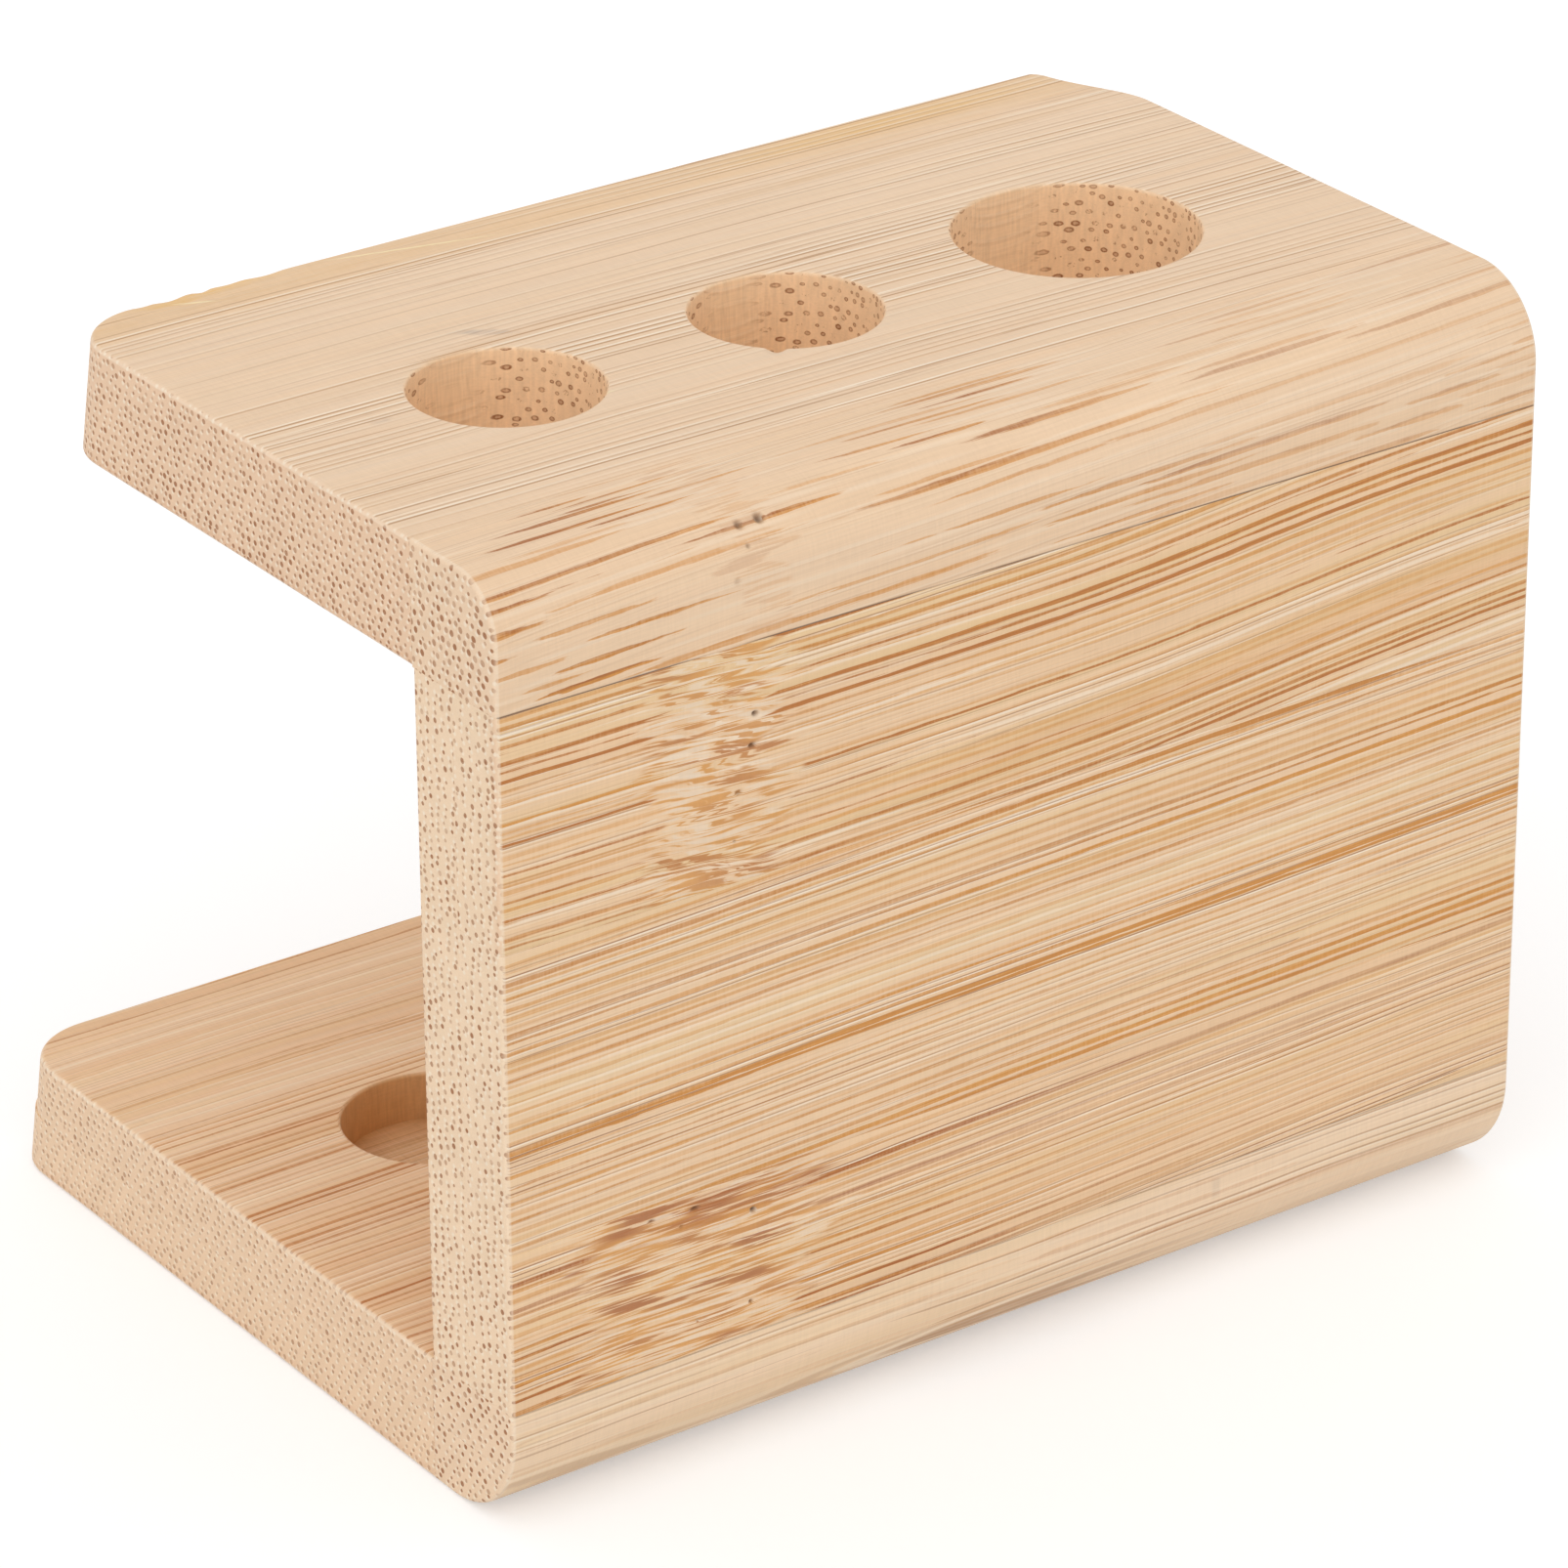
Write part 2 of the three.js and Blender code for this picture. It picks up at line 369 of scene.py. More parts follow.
def bore_wall(shell, centre, radius, rim, upper, lower):
    """Wall of a through bore: the eased upper rim, straight rows and the eased lower rim, between two rings."""
    top, bottom = upper[0, 2], lower[0, 2]
    shown = np.sin(EASE_TURN)
    drop, wider = rim * (1 - np.cos(EASE_TURN)), radius + rim * (1 - shown)
    straight = np.linspace(top - rim, bottom + rim, BORE_ROWS + 2)[1:-1]
    levels = np.concatenate([top - drop, straight, bottom + drop[::-1]])
    radii = np.concatenate([wider, np.full(BORE_ROWS, radius), wider[::-1]])
    bored = np.concatenate([shown, np.ones(BORE_ROWS), shown[::-1]])
    shell.patch(wall_rows(centre, levels, radii, upper, lower), wrap=True, cut=bored[:, None])


def seat_wall(shell, centre, radius, floor, rim, upper):
    """Wall and flat floor of a blind seat: the eased rim, straight rows, and rings drawn in to the middle."""
    top = upper[0, 2]
    shown = np.sin(EASE_TURN)
    straight = np.linspace(top - rim, floor, SEAT_ROWS + 1)[1:]
    rings = np.linspace(radius, 0, SEAT_RINGS + 1)[1:]
    levels = np.concatenate([top - rim * (1 - np.cos(EASE_TURN)), straight, np.full(SEAT_RINGS, floor)])
    radii = np.concatenate([radius + rim * (1 - shown), np.full(SEAT_ROWS, radius), rings])
    # The seat slat paints its walls dark as painted shade, and its floors less so
    bored = np.concatenate([shown, np.ones(SEAT_ROWS), np.full(SEAT_RINGS, SEAT_FLOOR_CUT_AND_SHADE)])
    shell.patch(wall_rows(centre, levels, radii, upper, upper), wrap=True, cut=bored[:, None])


def wall_rows(centre, levels, radii, upper, lower):
    """Rows of a round wall: directions pass from the upper ring's to the lower ring's as the level falls."""
    up = upper[:, :2] - centre
    down = lower[:, :2] - centre
    fall = ((levels[0] - levels) / (levels[0] - levels[-1]))[:, None, None]
    heading = up / np.linalg.norm(up, axis=1)[:, None] * (1 - fall)
    heading = heading + down / np.linalg.norm(down, axis=1)[:, None] * fall
    heading /= np.linalg.norm(heading, axis=2)[..., None]
    rows = np.empty(heading.shape[:2] + (3,))
    rows[..., :2] = centre + heading * radii[:, None, None]
    rows[..., 2] = levels[:, None]
    rows[0] = upper
    if lower is not upper:
        rows[-1] = lower
    return rows


# Pieces

def bar(node, name, sizes, ease, fillet=None, dents=()):
    """Slat or strip: a rounded rectangle in (y, z) carried along x.

    Ease holds the rounding at the ends of the lower, upper, outer and inner sides. Fillet gives the radius of the
    outer upper long edge at each station, or is None for a sharp one. The mesh is finer round the dents.
    """
    low, high = node_box(node)
    edge = max(ease)
    inner = graded(low[0] + edge, high[0] - edge, [dent[0][0] for dent in dents], DENT_REACH["along"])
    stations = stations_along(low[0], high[0], edge, edge, inner)
    hair = np.full_like(stations, sizes.seam_ease / MM)
    levels = graded(low[2], high[2], [dent[0][2] for dent in dents], DENT_REACH["up"])
    radius, turns, across = hair, 1, BAR_STEPS["across"]
    if fillet:
        radius, turns, across = fillet(stations), BAR_STEPS["fillet"], BAR_STEPS["filleted"]
    shell = Shell()
    ends = carried(shell, "x", stations, (low[1], high[1], low[2], high[2]), (ease, ease), hair[0],
                   [hair, hair, hair, radius], [1, 1, 1, turns], spread(across), levels)
    for sides in ends:
        end_face(shell, sides)
    return shell.build(name, dents)


def foot_strip(node, name, sizes, ease, seam):
    """Ply of the rounded strip below the upright: the strip's whole section carried along x, cut at the ply's levels.

    The outer side follows the fillet: its depth at a level is radius less the width of the circle there.
    """
    low, high = node_box(node)
    radius = sizes.foot_fillet / MM
    stations = stations_along(low[0], high[0], ease, ease, spread(FOOT_STEPS["along"]))
    away = np.minimum(stations - stations[0], stations[-1] - stations)
    shown, glued = drawn_in(away, ease)[:, None], drawn_in(away, seam)[:, None]
    rests = low[2] < LEVEL
    bottom = low[2] + (shown if rests else glued)
    crowding = 2.0 if rests else 1.0
    levels = bottom + (high[2] - glued - bottom) * spread(FOOT_STEPS["up"]) ** crowding
    below = np.clip(radius - levels, 0, radius - shown)
    outer = FRONT + radius - np.sqrt((radius - shown) ** 2 - below ** 2)
    inner = np.broadcast_to(high[1] - glued, levels.shape)
    shell = Shell()
    along = np.broadcast_to(stations[:, None], levels.shape)
    front = np.stack([along, outer, levels], -1)
    back = np.stack([along, inner, levels], -1)
    depth = spread(FOOT_STEPS["across"])[None, :, None]
    foot = front[:, :1] + (back[:, :1] - front[:, :1]) * depth
    head = front[:, -1:] + (back[:, -1:] - front[:, -1:]) * depth
    foot[:, 0], foot[:, -1], head[:, 0], head[:, -1] = front[:, 0], back[:, 0], front[:, -1], back[:, -1]
    # Arris mark for the pale edge, partly wear and partly a painted edge highlight
    worn = ridge(away, ease)[:, None]
    shell.patch(front, arris=worn)
    shell.patch(back)
    shell.patch(foot, arris=worn * float(rests))
    shell.patch(head)
    for end in (0, -1):
        end_face(shell, (foot[end], head[end], front[end], back[end]))
    return shell.build(name)


def board(node, name, sizes, below, above, bores=(), seats=(), dents=(), right_corner=None):
    """Board or slat of the shelf or base: a rounded rectangle in (x, y) carried up z, with its open side leaning.

    Below and above hold the rounding of the lower and upper edges on the closed side, the open side and the two ends.
    A row of bores or seats is cut through its upper face. The rear right corner can have a radius of its own.
    """
    low, high = node_box(node)
    rear_low, rear_high, corner = open_side(node)
    square = rear_low - rear_high < LEVEL
    stations = stations_along(low[2], high[2], max(below), max(above), spread(BOARD_STEPS["up"]))
    hair = np.full_like(stations, sizes.seam_ease / MM)
    rear = rear_low + (rear_high - rear_low) * (stations - low[2]) / (high[2] - low[2])
    rounded = hair if square else np.full_like(stations, corner)
    right = rounded if right_corner is None else np.full_like(stations, right_corner)
    turns = 1 if square else BOARD_STEPS["corner"]
    shell = Shell()
    first, last = carried(shell, "z", stations, (low[0], high[0], low[1], rear), (below, above), hair[0],
                          [hair, hair, right, rounded], [1, 1, turns, turns], spread(BOARD_STEPS["along"]),
                          spread(BOARD_STEPS["across"]))
    rim = sizes.rim_ease / MM
    if bores:
        uppers = bored_face(shell, last, bores, rim)
        lowers = bored_face(shell, first, bores, rim)
        for (centre, radius, _), upper, lower in zip(bores, uppers, lowers):
            bore_wall(shell, centre, radius, rim, upper, lower)
    elif seats:
        end_face(shell, first)
        for (centre, radius, floor), upper in zip(seats, bored_face(shell, last, seats, rim)):
            seat_wall(shell, centre, radius, floor, rim, upper)
    else:
        end_face(shell, first)
        end_face(shell, last)
    return shell.build(name, dents)


def face_dent(x, z, reach, depth, shade, drawn=1.0):
    """Dent in the front face; drawn makes it longer along the grain."""
    return (x, FRONT, z), (reach * drawn, 1.0, reach), (0, depth, 0), shade


def fillet_dent(x, turn, reach, depth, shade):
    """Dent in the top strip's rounded edge, at an angle up from its front face."""
    radius = DENTED_FILLET
    way = np.array([0, -math.cos(math.radians(turn)), math.sin(math.radians(turn))])
    top = node_box("top_edge_strip")[1][2]
    centre = np.array([x, FRONT + radius, top - radius]) + way * radius
    return centre, (reach, reach, reach), -way * depth, shade


def edge_tear(x, reach, depth):
    """Tear in the shelf's upper rear edge."""
    _, rear, _ = open_side("top_shelf")
    return (x, rear, SHELF_TOP), (reach, 1.3, 1.1), (0, -depth, -0.8 * depth), 0.0


# The last number of each dent is the strength of the painted shade in it
CORNER_CHIP = (SHELF_RIGHT + 1.0, 23.5, (SHELF_LOW[2] + SHELF_TOP) / 2), (9.0, 12.0, 60.0), (-4.0, 0, 0), 0.0
RIM_CHIP = (-7.1, -14.2, SHELF_TOP), (1.3, 0.9, 1.0), (0, -0.2, -0.3), 0.1
TEARS = (-42.6, 1.3, 0.07), (-40.3, 1.9, 0.16), (-37.2, 1.1, 0.14), (-34.8, 1.7, 0.06), (-31.3, 2.2, 0.1)
SHELF_DENTS = (CORNER_CHIP, RIM_CHIP, *[edge_tear(*tear) for tear in TEARS])
STRIP_DENTS = (fillet_dent(-26.9, 47, 0.55, 0.3, 0.8), fillet_dent(-25.0, 48, 0.65, 0.4, 0.9),
               fillet_dent(-26.8, 28, 0.3, 0.12, 0.6), face_dent(-28.2, 75.8, 0.45, 0.12, 0.25))
SLAT_DENTS = {
    "upright_upper_slat": (face_dent(-26.7, 64.5, 0.34, 0.35, 1.0, 1.3), face_dent(-27.0, 61.9, 0.34, 0.35, 0.9, 1.5),
                           face_dent(-28.3, 58.3, 0.34, 0.2, 0.5, 1.5), face_dent(-28.7, 54.3, 0.2, 0.12, 0.5)),
    "upright_lower_slat": (face_dent(-36.8, 24.0, 0.24, 0.15, 0.7, 2.0), face_dent(-32.7, 23.8, 0.22, 0.3, 1.0, 3.2),
                           face_dent(-27.2, 21.9, 0.36, 0.35, 1.0, 1.2), face_dent(-34.0, 22.6, 0.26, 0.15, 0.4),
                           face_dent(-27.5, 13.8, 0.28, 0.25, 0.8), face_dent(-32.6, 13.8, 0.2, 0.12, 0.5)),
}


def settle(context, piece, node):
    """Gives a piece its wood and its body, and hides the CAD node it stands for."""
    piece.data.materials.append(bamboo(node, {**PLAIN, **FINISHES[node]}, context.scene.bamboo_colours))
    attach(piece, "root")
    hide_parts(node)


# Grain

def arithmetic(operation, swapped=False):
    """Method of a reading that adds a Math node; swapped is for a plain value on the left."""
    if swapped:
        return lambda self, other: self.work(operation, other, self)
    return lambda self, other: self.work(operation, self, other)


class Reading:
    """A value that varies over the surface. Arithmetic on it adds Math nodes to its tree."""

    def __init__(self, tree, socket):
        self.tree = tree
        self.socket = socket

    def work(self, operation, *values):
        """Puts a Math node of the given operation into the tree."""
        node = self.tree.nodes.new("ShaderNodeMath")
        node.operation = operation
        for socket, value in zip(node.inputs, values):
            feed(self.tree, socket, value)
        return Reading(self.tree, node.outputs[0])

    __add__, __radd__ = arithmetic("ADD"), arithmetic("ADD", True)
    __sub__, __rsub__ = arithmetic("SUBTRACT"), arithmetic("SUBTRACT", True)
    __mul__, __rmul__ = arithmetic("MULTIPLY"), arithmetic("MULTIPLY", True)
    __truediv__, __rtruediv__ = arithmetic("DIVIDE"), arithmetic("DIVIDE", True)
    least = arithmetic("MINIMUM")

    def __abs__(self):
        return self.work("ABSOLUTE", self)

    def root(self):
        return self.work("SQRT", self)

    def exp(self):
        return self.work("EXPONENT", self)

    def rise(self, low, high):
        """Smooth step from 0 at low to 1 at high; it falls where low is above high."""
        node = self.tree.nodes.new("ShaderNodeMapRange")
        node.interpolation_type = "SMOOTHSTEP"
        for name, value in (("Value", self), ("From Min", low), ("From Max", high)):
            feed(self.tree, node.inputs[name], value)
        return Reading(self.tree, node.outputs["Result"])


def feed(tree, socket, value):
    """Joins a reading to a socket, or writes a plain value on it."""
    if isinstance(value, Reading):
        tree.links.new(value.socket, socket)
    else:
        socket.default_value = value


def parts(tree, vector):
    """The three coordinates of a vector."""
    node = tree.nodes.new("ShaderNodeSeparateXYZ")
    feed(tree, node.inputs[0], vector)
    return [Reading(tree, out) for out in node.outputs]


def joined(tree, *values):
    """A vector from three coordinates."""
    node = tree.nodes.new("ShaderNodeCombineXYZ")
    for socket, value in zip(node.inputs, values):
        feed(tree, socket, value)
    return Reading(tree, node.outputs[0])


def noise(tree, x, y, z, detail=1.0):
    """Smooth noise about 0 at a place whose coordinates are already scaled."""
    node = tree.nodes.new("ShaderNodeTexNoise")
    node.inputs["Scale"].default_value = 1
    node.inputs["Detail"].default_value = detail
    feed(tree, node.inputs["Vector"], joined(tree, x, y, z))
    return Reading(tree, node.outputs[0]) - 0.5


def mixed(tree, share, first, second):
    """Colour between two others."""
    node = tree.nodes.new("ShaderNodeMix")
    node.data_type = "RGBA"
    for socket, value in zip((node.inputs[0], node.inputs[6], node.inputs[7]), (share, first, second)):
        feed(tree, socket, value)
    return Reading(tree, node.outputs[2])


def effect(name, wire, inputs, outputs):
    """Shader node group with named sockets, wired by a function of a place and its inputs that returns its outputs."""
    tree = bpy.data.node_groups.new(name, "ShaderNodeTree")
    inputs = ("Place", *inputs)
    for way, names in (("INPUT", inputs), ("OUTPUT", outputs)):
        for socket in names:
            kind = "NodeSocketVector" if socket == "Place" else "NodeSocketFloat"
            tree.interface.new_socket(socket, in_out=way, socket_type=kind)
    into = tree.nodes.new("NodeGroupInput")
    out = tree.nodes.new("NodeGroupOutput")
    results = wire(tree, *[Reading(tree, into.outputs[socket]) for socket in inputs])
    for socket, value in zip(outputs, results):
        feed(tree, out.inputs[socket], value)


def placed_effect(tree, name, **inputs):
    """Puts a node group into a material with its own values and returns its outputs in order."""
    node = tree.nodes.new("ShaderNodeGroup")
    node.node_tree = bpy.data.node_groups[name]
    for socket, value in inputs.items():
        feed(tree, node.inputs[socket.replace("_", " ").title()], value)
    return [Reading(tree, out) for out in node.outputs]


def cells(tree, u, v, stray):
    """Cells of a plane: the way from the nearest cell's own point, and three numbers that belong to that cell."""
    node = tree.nodes.new("ShaderNodeTexVoronoi")
    node.voronoi_dimensions = "2D"
    node.inputs["Scale"].default_value = 1
    node.inputs["Randomness"].default_value = stray
    feed(tree, node.inputs["Vector"], joined(tree, u, v, 0.0))
    pu, pv, _ = parts(tree, Reading(tree, node.outputs["Position"]))
    return u - pu, v - pv, *parts(tree, Reading(tree, node.outputs["Color"]))


CLIMB_EASES = 42.0  # Way past the bend at which a climb eases
CLIMB_SOFTNESS = 80.0
SAG_MIDDLE, SAG_LENGTH = 8.0, 22.0
SKIN_DEPTH = 3.0  # Depth over which the bundles thin out
FIBRE_LENGTH = 60.0
SPOT_DEPTH = 1.2  # How deep below the face a stain goes


def wire_run(tree, place, seed, climb, bend, sag, dive, wander, waves, scar_along, scar_width, scar_drop):
    """Follows the fibres: x runs along them, y across and z in from the skin, in millimetres.

    Across shifts by a climb that sets in past the bend and eases later, by a sag right of the middle, by slow wander
    and by the drop through a scar. Depth shifts by a steady dive and by slow waves, which make the lines on a cut face
    start and stop. Off is the way along from the scar's middle, 1 at its ragged borders.
    """
    x, w, t = parts(tree, place)
    past = x - bend
    later = past - CLIMB_EASES
    set_in, eased = (way + (way * way + CLIMB_SOFTNESS).root() for way in (past, later))
    dip = (x - SAG_MIDDLE) / SAG_LENGTH
    sweep = climb * (0.85 * set_in - 0.35 * eased) + sag * (dip * dip * -1.0).exp()
    slow = noise(tree, x * 0.011 + seed * 3.1, w * 0.035, seed * 1.7)
    quick = noise(tree, x * 0.045 + seed, w * 0.16, t * 0.1 + seed * 2.3)
    ragged = noise(tree, w * 0.3 + seed * 5.0, seed, 0.5, 2.0) * 6.0 + noise(tree, w * 2.4, x * 0.03, seed) * 10.0
    off = (x - scar_along - ragged) / scar_width
    stir = noise(tree, x * 0.11 + seed, w * 0.35, seed * 9.0) * abs(off).rise(1.3, 0.5)
    rolls = noise(tree, x * 0.02 + seed * 7.0, w * 0.22, seed)
    across = w - sweep + wander * (slow * 5.0 + quick * 0.7) + scar_drop * (stir * 0.4 - off.rise(-1.0, 1.0))
    depth = t + dive * x + waves * rolls + scar_drop * stir
    return joined(tree, x, across, depth), off


def wire_bundles(tree, place, seed, spacing, skin, core, width, squash, fray, hollow):
    """Bundles of fibre as cells of a plane across the culm, in slanting rows that crowd towards the skin.

    Depth is stretched so that rows are skin apart at the skin and core apart further in. A bundle is a dark dot,
    squashed in depth and frayed by strands along it, with a painted highlight beside it on one side, as if its relief
    caught the light; a hollow one is a ring.
    """
    x, w, t = parts(tree, place)
    fade = (t * (-1 / SKIN_DEPTH)).exp()
    gain = 1.0 / skin - 1.0 / core
    v = t / core + gain * SKIN_DEPTH * (1.0 - fade) + seed * 5.3
    du, dv, own, _, hue = cells(tree, w / spacing + 0.5 * v, v, 0.5)
    across = (du - 0.5 * dv) * spacing
    depth = dv / (1.0 / core + gain * fade) * squash
    strands = noise(tree, x * 0.2 + seed, w * 8.0, t * 5.0, 2.0)
    away = (across * across + depth * depth).root() + strands * fray
    radius = width * (0.55 + own * 0.5)
    sheath = away.rise(radius * 1.12, radius * 0.85) * (1.0 - hollow * away.rise(radius * 0.65, radius * 0.4))
    # Painted highlight: a pale spot beside each dot on one side, as if its relief caught the light
    a, d = across - width * 0.8, depth + width
    painted_glint = (a * a + d * d).root().rise(width * 1.1, width * 0.4) * (1.0 - sheath)
    return sheath, painted_glint, hue + strands * 1.2, depth / radius


def wire_fibres(tree, place, seed, pitch):
    """Single fibres: long thin cells side by side, each with a brown line and a pale one beside it that taper off.

    Fine is an even fleck along the grain, and sanded is the comb of sanding marks across it.
    """
    x, w, t = parts(tree, place)
    side = w + t * 0.8
    du, dv, own, _, _ = cells(tree, side / pitch + seed * 17.0, x / FIBRE_LENGTH + seed * 3.0, 1.0)
    crowd = noise(tree, side * 0.3 + seed, x * 0.006, seed * 2.0, 2.0).rise(-0.12, 0.14)
    strength = abs(dv).rise(0.8, 0.4) * own.rise(0.1, 0.8) * (0.2 + crowd * 0.8)
    brown = abs(du).rise(0.19, 0.07) * strength
    pale = abs(du - 0.28).rise(0.21, 0.07) * strength
    fine = noise(tree, x * 0.06, w * 6.0 + seed, t * 6.0)
    return brown, pale, fine, noise(tree, x * 4.5, side * 0.6, seed)


def wire_tone(tree, place, seed):
    """Broad bands of tone along the grain, narrower yellow ones, and a soft mottle."""
    x, w, t = parts(tree, place)
    band = noise(tree, x * 0.006 + seed * 2.0, w * 0.3 + seed, t * 0.3, 2.0)
    straw = noise(tree, x * 0.012 + seed * 4.0, w * 0.6 + seed * 6.0, t * 0.5)
    mottle = noise(tree, x * 0.05 + seed, w * 0.5 + seed * 3.0, t * 0.4, 2.0)
    return band.rise(-0.15, 0.18), straw.rise(-0.08, 0.18), mottle


def wire_scar(tree, place, off, seed):
    """Scar of the culm's joint: lines stop at its ragged borders, and crowds of short streaks lie between them.

    Dash is 1 in the dark streaks and fleck in the pale torn ones. Lost is 1 where the lines of the bundles are gone.
    """
    x, w, t = parts(tree, place)
    side = w + t
    crowd = noise(tree, x * 0.14 + seed, side * 0.6, seed)
    streaks = noise(tree, x * 0.16 + seed, side * 4.2, seed * 3.0, 2.0)
    inside = abs(off).rise(1.15, 0.8)
    dash = (streaks + crowd * 0.25).rise(-0.01, 0.06) * inside
    fleck = (streaks + crowd * 0.25).rise(-0.06, -0.12) * inside
    return abs(off).rise(1.05, 0.9), dash, fleck, crowd


def wire_stain(tree, place, seed, along, across, length, width, lean, level, streaky):
    """Long spot on the face at a level: an ellipse that leans across the grain. A streaky one lets wood through."""
    x, w, t = parts(tree, place)
    dx = x - along
    first = dx / length
    second = (w - across - lean * dx) / width
    streaks = noise(tree, x * 0.2 + seed, w * 4.0, seed)
    away = (first * first + second * second).root() + streaks
    near_face = abs(t - level).rise(SPOT_DEPTH, SPOT_DEPTH / 2)
    return (away.rise(1.1, 0.4) * near_face * (1.0 - streaky + streaky * streaks.rise(-0.02, 0.06)),)


EFFECTS = {
    "Fibre run": (wire_run, ("Seed", "Climb", "Bend", "Sag", "Dive", "Wander", "Waves", "Scar Along", "Scar Width",
                             "Scar Drop"), ("Place", "Off")),
    "Fibre bundles": (wire_bundles, ("Seed", "Spacing", "Skin", "Core", "Width", "Squash", "Fray", "Hollow"),
                      ("Sheath", "Painted Glint", "Hue", "Side")),
    "Single fibres": (wire_fibres, ("Seed", "Pitch"), ("Brown", "Pale", "Fine", "Sanded")),
    "Tone bands": (wire_tone, ("Seed",), ("Band", "Straw", "Mottle")),
    "Joint scar": (wire_scar, ("Off", "Seed"), ("Lost", "Dash", "Fleck", "Crowd")),
    "Stain": (wire_stain, ("Seed", "Along", "Across", "Length", "Width", "Lean", "Level", "Streaky"), ("Mask",)),
}


SKIN_DOWN, SKIN_FRONT, SKIN_REAR, SKIN_UP = 0, 90, -90, 180  # Turn about X that brings a piece's skin side down


def culm_place(tree, node, turn):
    """Coordinates of the culm that a node was cut from, in millimetres: along, across, and in from its skin side."""
    low, high = node_box(node)
    level = {SKIN_DOWN: -low[2], SKIN_FRONT: -low[1], SKIN_REAR: high[1], SKIN_UP: high[2]}[turn]
    coordinates = tree.nodes.new("ShaderNodeTexCoord")
    culm = tree.nodes.new("ShaderNodeMapping")
    culm.inputs["Scale"].default_value = (1 / MM,) * 3
    culm.inputs["Rotation"].default_value = (math.radians(turn), 0, 0)
    culm.inputs["Location"].default_value = (0, 0, level)
    tree.links.new(coordinates.outputs["Object"], culm.inputs["Vector"])
    return Reading(tree, culm.outputs["Vector"])


def mark(tree, name):
    """A mark of the mesh."""
    node = tree.nodes.new("ShaderNodeAttribute")
    node.attribute_name = name
    return Reading(tree, node.outputs["Fac"])


def solid(colour):
    """Colour with full alpha, as a colour socket takes it."""
    return (*colour, 1.0)


END_FROM, END_TO = 0.35, 0.8  # How squarely a face looks along the grain where end grain starts, and where it is full
BORED_FROM, BORED_TO = 0.15, 0.5  # The same on bored walls
# The end grain's glint share is the strength of a painted highlight beside its dots
END_SHARE, END_FRAY, END_PAINTED_GLINT = 0.8, 0.1, 0.75
BORED_WIDER, BORED_HOLLOW, BORED_HAIRLESS = 0.08, 0.45, 0.8
# The edge share paints rounded edges pale, partly as wear and partly as a painted highlight
FLECK_SHARE, DASH_SHARE, WEAR_AND_HIGHLIGHT_SHARE = 0.75, 0.85, 0.4
RIND_DEPTH, GLUE_DEPTH, FADE_FROM, FADE_TO = 1.2, 0.18, 3.0, 9.0
RELIEF, RELIEF_STRENGTH, GLOSS = 0.03 * MM, 0.35, 0.3


